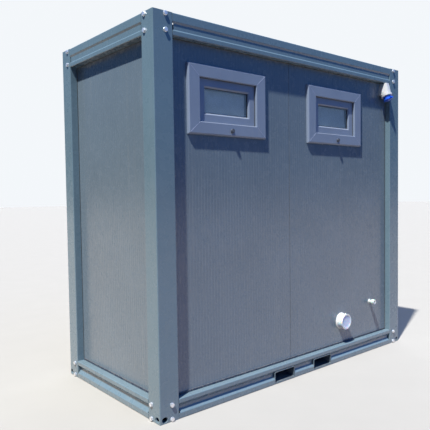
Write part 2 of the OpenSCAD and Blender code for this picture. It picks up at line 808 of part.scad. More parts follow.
module egg(front_r, front_y, rear_w, rear_y, h) {
    translate([0, front_y, 0]) cylinder(r = front_r, h = h, $fn = 40);
    translate([-rear_w / 2, rear_y, 0]) cube([rear_w, 10, h]);
}

module toilet_pans()
    color(ceramic) each_toilet() {
        difference() {
            hull() {
                translate([0, 0, rim_z - 34]) egg(178, 422, 330, toilet_y, 34);
                translate([0, 0, 250]) egg(150, 400, 250, toilet_y, 10);
                egg(110, 380, 220, toilet_y, 12);
            }
            hull() {
                for (y = [335, 428]) translate([0, y, rim_z]) cylinder(r = 128, h = 2, $fn = 40);
                translate([0, 360, 215]) cylinder(r = 50, h = 5, $fn = 40);
            }
            translate([0, 340, 150]) cylinder(r = 42, h = 80);
        }
        // seat hinge on the rear deck
        for (sx = [-1, 1]) translate([sx * 78 - 8, seat_pin_y - 11, rim_z - eps])
            cube([16, 22, seat_pin_z - rim_z + 9]);
        translate([0, seat_pin_y, seat_pin_z]) rod_x(seat_pin_r, 150);
    }

// Knuckle round the seat's hinge pin
module seat_knuckle(x, w, reach_y, z0, z1) {
    translate([x, seat_pin_y, seat_pin_z]) rod_x(11, w);
    translate([x - w / 2, seat_pin_y, z0]) cube([w, reach_y - seat_pin_y, z1 - z0]);
}

module toilet_seat(x) {
    z = rim_z + 3;
    color(ceramic) at_toilet(x) difference() {
        union() {
            difference() {
                translate([0, 0, z]) hull() egg(182, 424, 300, 222, seat_t);
                translate([0, 0, z - 1]) hull()
                    for (y = [345, 432]) translate([0, y, 0]) cylinder(r = 112, h = seat_t + 2, $fn = 40);
            }
            for (sx = [-1, 1]) seat_knuckle(sx * 52, 24, 230, z + 3, z + seat_t);
        }
        translate([0, seat_pin_y, seat_pin_z]) rod_x(seat_pin_r + run_gap, 200);
    }
}

// The lid stands open at rest, leaning on nothing behind the hinge
module toilet_lid(x) {
    z = rim_z + 3 + seat_t + 3;
    color(ceramic) at_toilet(x)
        translate([0, seat_pin_y, seat_pin_z]) rotate([lid_open, 0, 0])
            translate([0, -seat_pin_y, -seat_pin_z]) difference() {
                union() {
                    translate([0, 0, z]) hull() egg(182, 424, 300, 222, lid_t);
                    for (sx = [-1, 1]) seat_knuckle(sx * 24, 24, 230, z, z + lid_t);
                }
                translate([0, seat_pin_y, seat_pin_z]) rod_x(seat_pin_r + run_gap, 200);
            }
}

module cisterns() {
    w = cistern_size[0];
    d = cistern_size[1];
    h = cistern_size[2];
    wall = 5;
    bend = 46;
    color(ceramic) each_toilet() {
        difference() {
            translate([0, d / 2, cistern_z]) union() {
                linear_extrude(h - 30) polygon(rounded(w, d, 18));
                translate([0, 0, h - 28]) linear_extrude(28) polygon(rounded(w, d, 18));
                translate([0, 0, h - 32]) linear_extrude(6) polygon(rounded(w - 6, d - 6, 16));
            }
            translate([0, d / 2, cistern_z + wall])
                linear_extrude(h - wall - 24) polygon(rounded(w - 14, d - 14, 12));
            translate([0, d / 2, cistern_z + h - 16]) cylinder(r = button_r + button_gap, h = 20);
        }
        // flush pipe down to the rear of the pan
        translate([0, d / 2, cistern_z - 200]) cylinder(r = flush_r, h = 200 + eps);
        translate([0, d / 2 + bend, cistern_z - 200]) rotate([-90, 0, -90])
            rotate_extrude(angle = 90) translate([bend, 0]) circle(r = flush_r);
        translate([0, 0, cistern_z - 200 - bend]) rod_y(flush_r, d / 2 + bend - eps, toilet_y);
    }
}

module flush_button(x)
    color(steel) at_toilet(x) translate([0, cistern_size[1] / 2, cistern_z + cistern_size[2] - 9])
        cylinder(r = button_r, h = 14);

// Wash basins on the end walls, built on the right and mirrored to the left

module at_basin(s) side(s) translate([in_x, basin_y, basin_z]) children();

module wash_basins() {
    bowl_h = 98;
    color(ceramic) for (s = [-1, 1]) at_basin(s) difference() {
        translate([-basin_depth / 2, 0, -basin_h])
            linear_extrude(basin_h) polygon(rounded(basin_depth, basin_w, 30));
        translate([-basin_depth / 2 - 22, 0, -bowl_h])
            linear_extrude(bowl_h + 1) polygon(rounded(basin_depth - 76, basin_w - 40, 12));
        translate([-waste_in, 0, -basin_h - 1]) cylinder(r = 16, h = basin_h);
        // recesses under the rear corners
        for (y = [-basin_w / 2 - 1, basin_w / 2 - 39])
            translate([-30, y, -basin_h - 1]) cube([31, 40, basin_h - 40]);
    }
}

module basin_taps()
    color(steel) for (s = [-1, 1]) at_basin(s) translate([-tap_in, 0, 0]) difference() {
        union() {
            cylinder(r = 22, h = 5);
            cylinder(r = 14, h = tap_col_h);
            translate([-55, 0, tap_col_h - 26]) rod_x(9, 110);
            translate([-110, 0, tap_col_h - 26]) sphere(r = 9);
            translate([-110, 0, tap_col_h - 50]) cylinder(r = 9, h = 24);
        }
        translate([0, 0, tap_col_h - 18]) cylinder(r = 5 + run_gap, h = 20);
    }

module tap_handle(s)
    color(steel) at_basin(s) translate([-tap_in, 0, tap_col_h]) {
        translate([0, 0, -16]) cylinder(r = 5, h = 18);
        translate([0, 0, 0.5]) cylinder(r = 16, h = 16);
        translate([-62, -6, 7]) cube([60, 12, 7]);
    }

module ceiling_lights()
    color("white") for (x = [-door_x, door_x - 120]) translate([x, 60, ceiling_z]) {
        translate([0, 0, -18]) cylinder(r = 130, h = 18);
        translate([0, 0, -52]) cylinder(r = 122, h = 35);
    }

corner_post(-1, -1);  // post_service_left
corner_post(1, -1);  // post_service_right
corner_post(-1, 1);  // post_door_left
corner_post(1, 1);  // post_door_right
floor_rail_service();
floor_rail_door();
floor_end_rails();
roof_rail_service();
roof_rail_door();
roof_end_rails();
corner_blocks();
frame_bolts();
cross_members();
fork_pockets();
underside_sheet();
floor_board();
floor_covering();
roof_sheet();
ceiling_panel();
service_wall_panel_left();
service_wall_panel_right();
end_wall_panels();
door_wall_panel(-1);  // door_wall_panel_left
door_wall_panel(1);  // door_wall_panel_right
partition_wall();
window_frame(window_left_x);  // window_frame_left
window_frame(window_right_x);  // window_frame_right
door_frame(-1);  // door_frame_left
door_frame(1);  // door_frame_right
inlet_housing();
inlet_collar();
drain_socket();
soil_pipe();
water_pipes();
toilet_pans();
cisterns();
wash_basins();
basin_taps();
ceiling_lights();
door_leaf(-1);  // door_leaf_left
door_leaf(1);  // door_leaf_right
door_lever(-1);  // door_lever_left
door_lever(1);  // door_lever_right
door_turn(-1);  // door_turn_left
door_turn(1);  // door_turn_right
window_sash(window_left_x);  // window_sash_left
window_sash(window_right_x);  // window_sash_right
window_glass(window_left_x);  // window_glass_left
window_glass(window_right_x);  // window_glass_right
window_handle(window_left_x);  // window_handle_left
window_handle(window_right_x);  // window_handle_right
inlet_lid();
toilet_seat(left_toilet_x);  // toilet_seat_left
toilet_seat(drain_x);  // toilet_seat_right
toilet_lid(left_toilet_x);  // toilet_lid_left
toilet_lid(drain_x);  // toilet_lid_right
flush_button(left_toilet_x);  // flush_button_left
flush_button(drain_x);  // flush_button_right
tap_handle(-1);  // tap_handle_left
tap_handle(1);  // tap_handle_right
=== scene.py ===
from itertools import product
import math
import random

import bmesh
import bpy
from mathutils import Matrix, Vector


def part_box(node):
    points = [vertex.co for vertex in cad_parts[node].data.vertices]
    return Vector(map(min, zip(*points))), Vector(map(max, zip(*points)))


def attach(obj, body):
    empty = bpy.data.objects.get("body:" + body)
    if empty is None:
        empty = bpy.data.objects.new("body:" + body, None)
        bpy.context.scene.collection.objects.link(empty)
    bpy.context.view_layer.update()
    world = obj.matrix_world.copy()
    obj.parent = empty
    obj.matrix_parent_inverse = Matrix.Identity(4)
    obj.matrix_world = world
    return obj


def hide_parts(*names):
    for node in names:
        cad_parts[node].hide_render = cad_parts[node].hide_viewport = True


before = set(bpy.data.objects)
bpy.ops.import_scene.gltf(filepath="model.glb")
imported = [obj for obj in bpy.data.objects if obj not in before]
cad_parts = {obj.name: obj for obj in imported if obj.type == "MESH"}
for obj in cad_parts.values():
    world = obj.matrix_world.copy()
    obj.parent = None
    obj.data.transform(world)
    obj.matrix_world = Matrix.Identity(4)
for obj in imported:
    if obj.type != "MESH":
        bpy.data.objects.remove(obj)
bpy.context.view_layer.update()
random.seed(7)

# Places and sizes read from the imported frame, in metres

BODY = "container"
SIDES = {"left": -1, "right": 1}  # the way along X to each cabin
BOTH = (-1, 1)
ALONG_Y = (0, 1, 0)
AGAINST_Y = (0, -1, 0)
UP = (0, 0, 1)


def middle(node):
    low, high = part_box(node)
    return (low + high) / 2


def shifted(point, x=0, y=0, z=0):
    return Vector(point) + Vector((x, y, z))


post_low, post_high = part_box("post_service_left")
half_l = -post_low.x
half_w = -post_low.y
frame_top = post_high.z
panel_low, panel_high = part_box("service_wall_panel_left")
wall_x = -panel_low.x
wall_y = -panel_low.y
in_y = -panel_high.y
in_x = wall_x - (wall_y - in_y)
cap_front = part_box("window_frame_left")[0].y
floor_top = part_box("floor_covering")[1].z
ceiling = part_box("ceiling_panel")[0].z
roof_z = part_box("ceiling_panel")[1].z

# Shader helpers


def fill(tree, socket, value):
    """Joins or sets an input, unless the value is None."""
    if isinstance(value, bpy.types.NodeSocket):
        tree.links.new(value, socket)
    elif value is not None:
        socket.default_value = value


def add(tree, kind, inputs=(), **settings):
    """Outputs of a new shader node that has these settings and inputs."""
    node = tree.nodes.new("ShaderNode" + kind)
    for key, value in settings.items():
        setattr(node, key, value)
    for key, value in dict(inputs).items():
        fill(tree, node.inputs[key], value)
    return node.outputs


def calc(tree, operation, a, b=0, clamp=False):
    return add(tree, "Math", {0: a, 1: b}, operation=operation, use_clamp=clamp)[0]


def times(tree, a, b):
    return calc(tree, "MULTIPLY", a, b)


def span(tree, value, low, high, to_low=0, to_high=1):
    """The value stretched from one range to another, held within it."""
    inputs = {"Value": value, "From Min": low, "From Max": high, "To Min": to_low, "To Max": to_high}
    return add(tree, "MapRange", inputs)["Result"]


def noise(tree, place, scale, detail=4, rough=0.55):
    inputs = {"Vector": place, "Scale": scale, "Detail": detail, "Roughness": rough}
    return add(tree, "TexNoise", inputs)["Fac"]


def object_place(tree):
    return add(tree, "TexCoord")["Object"]


def stretched(tree, place, scale):
    return add(tree, "Mapping", {"Vector": place, "Scale": scale})["Vector"]


def apart(tree, vector=None):
    """X, Y and Z of a vector, or else of the place on the object."""
    return add(tree, "SeparateXYZ", {0: vector or object_place(tree)})


def rounded(tree, radius):
    """Normal with the sharp edges rounded."""
    return add(tree, "Bevel", {"Radius": radius}, samples=4)["Normal"]


def vectors(tree, operation, a, b, result=0):
    return add(tree, "VectorMath", {0: a, 1: b}, operation=operation)[result]


def tint(tree, factor, a, b, blend="MIX"):
    """Colour a turning into colour b with the factor."""
    inputs = {0: factor, 6: a, 7: b}
    return add(tree, "Mix", inputs, data_type="RGBA", blend_type=blend)[2]


def srgb(red, green, blue):
    """Linear colour of an sRGB colour."""
    def linear(c):
        c /= 255
        return c / 12.92 if c <= 0.04045 else ((c + 0.055) / 1.055) ** 2.4
    return (linear(red), linear(green), linear(blue), 1)


# Effects that several finishes share, each a node group


def new_group(name, **inputs):
    """A new node group: its tree, the sockets that it is given, and how it gives its results."""
    tree = bpy.data.node_groups.new(name, "ShaderNodeTree")
    for socket, value in inputs.items():
        made = tree.interface.new_socket(socket, in_out="INPUT", socket_type="NodeSocketFloat")
        made.default_value = value
    given = tree.nodes.new("NodeGroupInput").outputs

    def give(**results):
        for socket in results:
            tree.interface.new_socket(socket, in_out="OUTPUT", socket_type="NodeSocketFloat")
        ends = tree.nodes.new("NodeGroupOutput").inputs
        for socket, value in results.items():
            tree.links.new(value, ends[socket])
        return tree

    return tree, given, give


def weather_group():
    """Dust on faces that look up, faint runs down the walls and splash above the ground."""
    tree, given, give = new_group("weather", Dust=0.5, Runs=0.3, Splash=0.4)
    place = object_place(tree)
    up = apart(tree, add(tree, "NewGeometry")["Normal"])["Z"]
    height = apart(tree, place)["Z"]
    patches = noise(tree, place, 6, 6, 0.65)
    lying = times(tree, span(tree, up, 0.4, 0.95), span(tree, patches, 0.25, 0.7, 0.4, 1))
    columns = noise(tree, stretched(tree, place, (34, 34, 0.7)), 1, 3)
    runs = times(tree, span(tree, columns, 0.54, 0.78), span(tree, patches, 0.35, 0.65))
    speckle = noise(tree, place, 55, 6, 0.7)
    low = times(tree, span(tree, height, 0.42, 0), span(tree, speckle, 0.42, 0.62))
    total = times(tree, lying, given["Dust"])
    for mask, amount in ((runs, "Runs"), (low, "Splash")):
        total = calc(tree, "ADD", total, times(tree, mask, given[amount]), clamp=True)
    return give(Dirt=total)


def edge_group():
    """Rubbed edges: a mask along sharp edges, broken up, from the rounded normal."""
    tree, given, give = new_group("rubbed edges", Width=0.004, Amount=0.6)
    soft = rounded(tree, given["Width"])
    normal = add(tree, "NewGeometry")["Normal"]
    along = vectors(tree, "DOT_PRODUCT", soft, normal, "Value")
    broken = span(tree, noise(tree, object_place(tree), 26, 6, 0.7), 0.38, 0.62, 0.25, 1)
    edge = times(tree, span(tree, along, 0.97, 0.72), broken)
    return give(Edge=calc(tree, "MULTIPLY", edge, given["Amount"], clamp=True))


def skin_group():
    """Skin of a sprayed or moulded face: fine relief, broad tone and uneven gloss."""
    tree, given, give = new_group("skin", Grain=420, Waves=3)
    place = object_place(tree)
    fine = noise(tree, place, given["Grain"], 2)
    broad = noise(tree, place, given["Waves"], 3)
    gloss = noise(tree, place, 14, 5, 0.6)
    return give(Relief=fine, Tone=span(tree, broad, 0.3, 0.7), Gloss=span(tree, gloss, 0.3, 0.7))


def lines_group():
    """Fine rolled lines that run up the wall panels, as a relief from 0 to 1, and a mask for the painted
    shade at the bottom of each groove.
    """
    tree, given, give = new_group("rolled lines", Pitch=0.0125)
    place = apart(tree)
    across = calc(tree, "ADD", place["X"], place["Y"])
    turn = calc(tree, "FRACT", calc(tree, "DIVIDE", across, given["Pitch"]))
    away = calc(tree, "ABSOLUTE", calc(tree, "SUBTRACT", turn, 0.5))
    # the second mask is painted shade: 1 at the bottom of each groove
    return give(Relief=span(tree, away, 0.02, 0.16), Line=span(tree, away, 0.14, 0.04))


def spangle_group():
    """Crystals of hot-dip zinc."""
    tree, given, give = new_group("spangle", Scale=70)
    place = object_place(tree)
    bent = add(tree, "TexNoise", {"Vector": place, "Scale": 30})["Color"]
    place = vectors(tree, "ADD", place, vectors(tree, "MULTIPLY", bent, (0.02, 0.02, 0.02)))
    cells = add(tree, "TexVoronoi", {"Vector": place, "Scale": given["Scale"]})
    tone = add(tree, "SeparateColor", {0: cells["Color"]})[0]
    return give(Tone=tone, Relief=cells["Distance"])


def scratch_group():
    """Fine hairlines of handled metal, in two directions."""
    tree, given, give = new_group("hairlines", Scale=90)
    place = object_place(tree)
    marks = []
    for turn in ((0.5, 0.2, 0.9), (-0.7, 1.1, 0.3)):
        inputs = {"Vector": place, "Rotation": turn, "Scale": (1, 14, 14)}
        drawn_out = add(tree, "Mapping", inputs)["Vector"]
        marks.append(span(tree, noise(tree, drawn_out, given["Scale"], 2), 0.62, 0.74))
    mark = calc(tree, "MAXIMUM", *marks)
    return give(Relief=calc(tree, "SUBTRACT", 1, mark), Mark=mark)


WEATHER = weather_group()
EDGES = edge_group()
SKIN = skin_group()
LINES = lines_group()
SPANGLE = spangle_group()
HAIRLINES = scratch_group()

DUST = (176, 172, 164)


class Finish:
    """One material while it is made: base colour, roughness and relief build up in turn.
    Colours are given in sRGB, from 0 to 255."""

    def __init__(self, name, colour, rough=0.5, **shader):
        self.name = name
        self.material = bpy.data.materials.new(name)
        self.material.use_nodes = True
        self.tree = self.material.node_tree
        self.shader = self.tree.nodes["Principled BSDF"]
        for socket, value in shader.items():
            self.shader.inputs[socket.replace("_", " ")].default_value = value
        self.colour = srgb(*colour)
        self.rough = rough
        self.normal = None

    def group(self, tree, **values):
        node = self.tree.nodes.new("ShaderNodeGroup")
        node.node_tree = tree
        for socket, value in values.items():
            node.inputs[socket].default_value = value
        return node.outputs

    def grain(self, *settings, stretch=(1, 1, 1)):
        """Noise over the object, with its scale drawn out along X, Y and Z."""
        return noise(self.tree, stretched(self.tree, object_place(self.tree), stretch), *settings)

    def film(self, scale, detail, rough, low, high):
        """Soft patches of noise between two levels."""
        return span(self.tree, self.grain(scale, detail, rough), low, high)

    def paint(self, factor, colour, amount=1):
        """Turns the base colour into another where the factor is high."""
        if amount != 1:
            factor = times(self.tree, factor, amount)
        self.colour = tint(self.tree, factor, self.colour, srgb(*colour))

    def weather(self, dust, runs, splash):
        """Dirt over the base colour. Gives its mask."""
        dirt = self.group(WEATHER, Dust=dust, Runs=runs, Splash=splash)["Dirt"]
        self.paint(dirt, DUST)
        return dirt

    def roughen(self, factor, low, high):
        """Roughness between two values, by the factor."""
        self.rough = span(self.tree, factor, 0, 1, low, high)

    def rougher(self, factor, amount):
        self.rough = calc(self.tree, "ADD", self.rough, times(self.tree, factor, amount), clamp=True)

    def soften(self, radius):
        """Rounds the look of sharp edges."""
        self.normal = rounded(self.tree, radius)

    def raise_by(self, height, distance, strength):
        """Relief of a height map, on top of what is there."""
        inputs = {"Height": height, "Distance": distance, "Strength": strength, "Normal": self.normal}
        self.normal = add(self.tree, "Bump", inputs)["Normal"]

    def tone(self, factor, amount):
        """Broad lighter and darker patches."""
        value = span(self.tree, factor, 0, 1, 1 - amount, 1 + amount)
        grey = add(self.tree, "CombineColor", {0: value, 1: value, 2: value})[0]
        self.colour = tint(self.tree, 1, self.colour, grey, "MULTIPLY")

    def done(self):
        results = {"Base Color": self.colour, "Roughness": self.rough, "Normal": self.normal}
        for socket, value in results.items():
            fill(self.tree, self.shader.inputs[socket], value)
        return self.material


# Finishes


def faced(name, colour, skin, patches, gloss, relief,
          edge=None, dirt=None, soft=None, marks=None, **shader):
    """A painted, moulded or glazed face, from: grain and waves of its skin, depth of the broad
    patches, lowest and highest roughness, height and strength of the relief; and if it has them:
    width, amount and colour of rubbed edges, dust, runs and splash, rounding, scale of hairlines."""
    look = Finish(name, colour, **shader)
    skin = look.group(SKIN, Grain=skin[0], Waves=skin[1])
    look.tone(skin["Tone"], patches)
    uneven = look.group(HAIRLINES, Scale=marks)["Mark"] if marks else skin["Gloss"]
    look.roughen(uneven, *gloss)
    if edge:
        look.paint(look.group(EDGES, Width=edge[0], Amount=edge[1])["Edge"], edge[2])
    if dirt:
        look.dirt = look.weather(*dirt)
    if soft:
        look.soften(soft)
    look.raise_by(skin["Relief"], *relief)
    return look


def sprayed_paint(name, colour, rough, soft=0.0025, dust=0.06, runs=0.06, splash=0.09, worn=0.18):
    """Sprayed paint on bent sheet: orange peel, soft bends, rubbed edges, dust and splash."""
    look = faced(name, colour, (380, 2.2), 0.05, (rough - 0.05, rough + 0.08), (0.00012, 0.5),
                 (0.004, worn, (150, 168, 180)), (dust, runs, splash), soft, Specular_IOR_Level=0.5)
    look.rougher(look.dirt, 0.3)
    return look


def inner_face(tree):
    """1 on the panel faces that look into the cabins, found by their place."""
    place = apart(tree)
    beyond = [calc(tree, "SUBTRACT", calc(tree, "ABSOLUTE", place[way]), face + 0.0005)
              for way, face in (("X", in_x), ("Y", in_y))]
    return calc(tree, "LESS_THAN", calc(tree, "MAXIMUM", *beyond), 0)


def panel_paint():
    """Coil-coated panel sheet: grey with fine rolled lines outside, whose grooves carry painted shade, plain
    white inside.
    """
    look = sprayed_paint("panel_paint", (101, 117, 132), 0.24, soft=0.0012, runs=0.1, worn=0.05)
    lines = look.group(LINES, Pitch=0.0125)
    # painted shade: the bottoms of the rolled-line grooves are painted darker
    look.paint(lines["Line"], (60, 68, 84), 0.07)
    look.paint(inner_face(look.tree), (224, 227, 226))
    look.raise_by(lines["Relief"], 0.0003, 0.35)
    return look


def inner_sheet():
    """White coated sheet of the ceiling and the partition."""
    return faced("inner_white", (226, 229, 228), (300, 1.8), 0.03, (0.38, 0.5), (0.0001, 0.4),
                 dirt=(0.1, 0.06, 0.2), soft=0.001)


def window_plastic():
    """Foiled plastic profile with a fine grain, and its darker drain caps, which stand proud."""
    look = faced("window_pvc", (119, 134, 158), (900, 4), 0.05, (0.36, 0.5), (0.00015, 0.6),
                 (0.0035, 0.3, (150, 163, 190)), (0.3, 0.1, 0), 0.0015)
    depth = apart(look.tree)["Y"]
    look.paint(calc(look.tree, "LESS_THAN", depth, cap_front + 0.0145), (72, 79, 92))
    return look


def window_glass():
    """Frosted pane: cloudy, with a fine pattern rolled into it."""
    look = Finish("window_glass", (214, 220, 228), Transmission_Weight=0.1, IOR=1.45)
    pattern = look.grain(95, 4, 0.6, stretch=(1, 1, 3))
    cloud = look.film(14, 3, 0.55, 0.3, 0.7)
    look.roughen(cloud, 0.28, 0.45)
    look.tone(cloud, 0.1)
    look.paint(span(look.tree, pattern, 0.4, 0.65, 0, 0.5), (240, 243, 247))
    look.raise_by(pattern, 0.0008, 0.6)
    return look


def zinc():
    """Hot-dip zinc on sheet."""
    look = Finish("galvanised", (176, 182, 187), Metallic=0.85)
    crystals = look.group(SPANGLE, Scale=120)
    look.tone(crystals["Tone"], 0.14)
    look.roughen(crystals["Tone"], 0.35, 0.57)
    look.weather(0.35, 0.2, 0.5)
    look.raise_by(crystals["Relief"], 0.0001, 0.4)
    return look


def bolt_zinc():
    """Bright zinc of bolts and washers."""
    look = Finish("bolt_steel", (208, 216, 227), Metallic=0.6)
    lines = look.group(HAIRLINES, Scale=160)
    look.tone(look.group(SKIN, Grain=600, Waves=60)["Tone"], 0.1)
    look.roughen(lines["Mark"], 0.32, 0.5)
    look.weather(0.15, 0, 0.4)
    look.soften(0.0012)
    look.raise_by(lines["Relief"], 0.0001, 0.3)
    return look


def pipe_plastic(name, colour, rough=0.34, dirt=0.15, glow=0.1):
    """Moulded pipe plastic, slightly uneven and chalky, that lets some light through."""
    return faced(name, colour, (260, 20), 0.03, (rough - 0.05, rough + 0.12), (0.00015, 0.4),
                 dirt=(dirt, dirt / 2, dirt), soft=0.001, Subsurface_Weight=glow, Subsurface_Scale=0.01)


def ceramic():
    """Glazed ceramic: soft waves in the glaze under a clear coat, and a few specks."""
    look = faced("sanitary_ceramic", (240, 240, 236), (26, 7), 0.015, (0.08, 0.18), (0.0003, 0.3),
                 soft=0.004, Coat_Weight=0.6, Coat_Roughness=0.03)
    look.paint(look.film(700, 2, 0.55, 0.72, 0.8), (180, 176, 168), 0.2)
    return look


def moulded_white():
    """Glossy moulded seat and lid."""
    return faced("sanitary_plastic", (236, 237, 234), (200, 9), 0.02, (0.17, 0.34), (0.0001, 0.3),
                 soft=0.0025, marks=60, Coat_Weight=0.2, Coat_Roughness=0.06)


def lamp_cover():
    """Frosted cover of the ceiling lights."""
    return faced("lamp_white", (242, 242, 238), (500, 12), 0.02, (0.32, 0.46), (0.0001, 0.5),
                 Subsurface_Weight=0.2, Subsurface_Scale=0.01)


def chrome():
    look = Finish("tap_chrome", (214, 218, 222), Metallic=1)
    lines = look.group(HAIRLINES, Scale=120)
    look.roughen(lines["Mark"], 0.06, 0.2)
    film = look.film(60, 5, 0.55, 0.45, 0.7)
    look.paint(film, (190, 192, 190), 0.15)
    look.rougher(film, 0.06)
    look.raise_by(lines["Relief"], 0.00005, 0.2)
    return look


def brushed_metal(name, colour, along=(1, 40, 40)):
    """Metal brushed along one direction."""
    look = Finish(name, colour, Metallic=1)
    brush = look.grain(60, 3, stretch=along)
    look.tone(brush, 0.08)
    look.roughen(brush, 0.24, 0.42)
    look.paint(look.group(EDGES, Width=0.0015, Amount=0.4)["Edge"], (226, 228, 230))
    look.raise_by(brush, 0.00008, 0.5)
    return look


def board():
    """Film-faced plywood of the floor, seen at its edge."""
    look = Finish("floor_wood", (168, 134, 96), 0.62)
    grain = look.grain(8, 8, 0.7, stretch=(2, 30, 30))
    look.paint(span(look.tree, grain, 0.35, 0.7), (122, 90, 60))
    waves = {"Vector": object_place(look.tree), "Scale": 110, "Distortion": 0.6}
    plies = add(look.tree, "TexWave", waves, bands_direction="Z")["Fac"]
    look.paint(plies, (96, 70, 46), 0.35)
    look.raise_by(grain, 0.0004, 0.6)
    return look


def vinyl():
    """Speckled safety vinyl."""
    look = Finish("floor_vinyl", (112, 118, 126))
    flakes = add(look.tree, "TexVoronoi", {"Vector": object_place(look.tree), "Scale": 330})
    tone = add(look.tree, "SeparateColor", {0: flakes["Color"]})
    look.paint(span(look.tree, tone[0], 0.82, 0.86), (188, 192, 196))
    look.paint(span(look.tree, tone[1], 0.86, 0.9), (60, 66, 74))
    look.tone(look.group(SKIN, Grain=100, Waves=3)["Tone"], 0.04)
    look.roughen(tone[2], 0.45, 0.65)
    look.raise_by(flakes["Distance"], 0.0003, 0.5)
    return look


def rubber(name, colour):
    """Sealing rubber, dusty in its hollows."""
    return faced(name, colour, (700, 12), 0.1, (0.5, 0.75), (0.0001, 0.6), dirt=(0.4, 0.1, 0.3))


def weld_line():
    """Paler plastic of the welded corners."""
    return faced("weld_line", (158, 170, 198), (900, 30), 0.1, (0.35, 0.5), (0.0001, 0.5))


def clear_glass():
    """Outer pane: clear, faintly blue, with a film of dust."""
    look = Finish("clear_glass", (214, 226, 236), Transmission_Weight=1, IOR=1.45)
    film = look.film(9, 6, 0.65, 0.4, 0.75)
    look.paint(film, (190, 200, 208), 0.25)
    look.roughen(film, 0.015, 0.1)
    return look


def mirror_glass():
    look = Finish("mirror", (226, 230, 232), Metallic=1)
    film = look.film(12, 5, 0.55, 0.5, 0.8)
    look.paint(film, (200, 204, 206), 0.1)
    look.roughen(film, 0.015, 0.05)
    return look


def moulded_plastic(name, colour, rough):
    """Plain moulded plastic with a fine grain and handling marks."""
    return faced(name, colour, (650, 15), 0.05, (rough, rough + 0.18), (0.00012, 0.5),
                 soft=0.001, marks=70)


def paper():
    """Soft crepe paper in fine embossed rows."""
    look = Finish("paper", (238, 238, 234))
    rows = look.grain(2, 3, stretch=(260, 90, 260))
    look.tone(rows, 0.03)
    look.roughen(rows, 0.8, 0.95)
    look.raise_by(rows, 0.0005, 0.6)
    return look


def sealant():
    """Smoothed white sealing compound, a little grey with age."""
    return faced("sealant", (214, 217, 219), (160, 40), 0.06, (0.3, 0.5), (0.0006, 0.6),
                 dirt=(0.3, 0.3, 0.3))


LOOKS = (
    sprayed_paint("frame_paint", (99, 123, 139), 0.26),
    # fork pockets: a darker paint that is painted shade in their mouths and insides, with more dust, splash
    # and wear
    sprayed_paint("pocket_paint_painted_shade", (62, 82, 100), 0.3, dust=0.1, splash=0.2, worn=0.3),
    panel_paint(),
    inner_sheet(),
    window_plastic(),
    window_glass(),
    zinc(),
    bolt_zinc(),
    pipe_plastic("pipe_white", (222, 225, 229), glow=0.5),
    pipe_plastic("plug_white", (198, 214, 240), 0.4, glow=0.3),
    pipe_plastic("housing_white", (184, 189, 196)),
    pipe_plastic("pipe_grey", (150, 154, 158), 0.42, 0.1),
    pipe_plastic("power_blue", (18, 84, 212), 0.32, 0.1),
    ceramic(),
    moulded_white(),
    lamp_cover(),
    chrome(),
    brushed_metal("fitting_steel", (188, 191, 194)),
    board(),
    vinyl(),
    rubber("rubber", (38, 40, 43)),
    # navy of the strips at the walls' feet: painted shade
    rubber("painted_shade_navy", (24, 44, 70)),
    weld_line(),
    clear_glass(),
    mirror_glass(),
    brushed_metal("brass", (206, 176, 112)),
    brushed_metal("brushed_bin", (178, 181, 184), (30, 30, 1)),
    moulded_plastic("plastic_black", (44, 46, 49), 0.42),
    moulded_plastic("plastic_grey", (120, 126, 132), 0.5),
    moulded_plastic("smoked_plastic", (70, 78, 86), 0.15),
    moulded_plastic("sign_green", (40, 140, 70), 0.35),
    moulded_plastic("sign_red", (190, 40, 36), 0.35),
    paper(),
    sealant(),
)
FINISHES = {look.name: look.done() for look in LOOKS}
# the fork pockets take the darker pocket paint, which is painted shade
OWN_FINISHES = {"inlet_housing": "housing_white", "fork_pockets": "pocket_paint_painted_shade"}


def finish_frame_nodes():
    """Each CAD node takes the finish of its slot in the record, or one of its own."""
    for name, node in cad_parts.items():
        for place, material in enumerate(node.data.materials):
            slot = material.name.split(".")[0]
            node.data.materials[place] = FINISHES[OWN_FINISHES.get(name, slot)]


finish_frame_nodes()

# Shapes: each helper adds one to a bmesh


def put(bm, before, matrix):
    """Moves what a bmesh has gained since then into its place."""
    bmesh.ops.transform(bm, matrix=matrix, verts=[v for v in bm.verts if v not in before])


def facing(way):
    """Turn that brings Z into a direction."""
    return Vector(way).to_track_quat("Z", "Y").to_matrix().to_4x4()


def bevel(bm, edges, width, segments=2):
    bmesh.ops.bevel(bm, geom=edges, offset=width, offset_type="OFFSET", segments=segments,
                    profile=0.5, affect="EDGES", material=-1)


def plate(bm, low, high, edge=0.001, segments=2):
    """Block between two opposite corners, with rounded edges."""
    low, high = Vector(map(min, low, high)), Vector(map(max, low, high))
    corners = bmesh.ops.create_cube(bm, size=1)["verts"]
    bmesh.ops.scale(bm, vec=high - low, verts=corners)
    bmesh.ops.translate(bm, vec=(low + high) / 2, verts=corners)
    bevel(bm, list({e for v in corners for e in v.link_edges}), edge, segments)


def rod(bm, start, end, radius, sides=32, edge=0, spin=0):
    """Round or many-sided bar between two points, with rounded rims, turned about its axis."""
    start, end = Vector(start), Vector(end)
    way = end - start
    made = bmesh.ops.create_cone(bm, cap_ends=True, segments=sides, radius1=radius, radius2=radius,
                                 depth=way.length)["verts"]
    turn = facing(way) @ Matrix.Rotation(spin, 4, "Z")
    bmesh.ops.transform(bm, matrix=Matrix.Translation((start + end) / 2) @ turn, verts=made)
    if edge:
        caps = {f for v in made for f in v.link_faces if len(f.verts) == sides}
        bevel(bm, list({e for f in caps for e in f.edges}), edge)


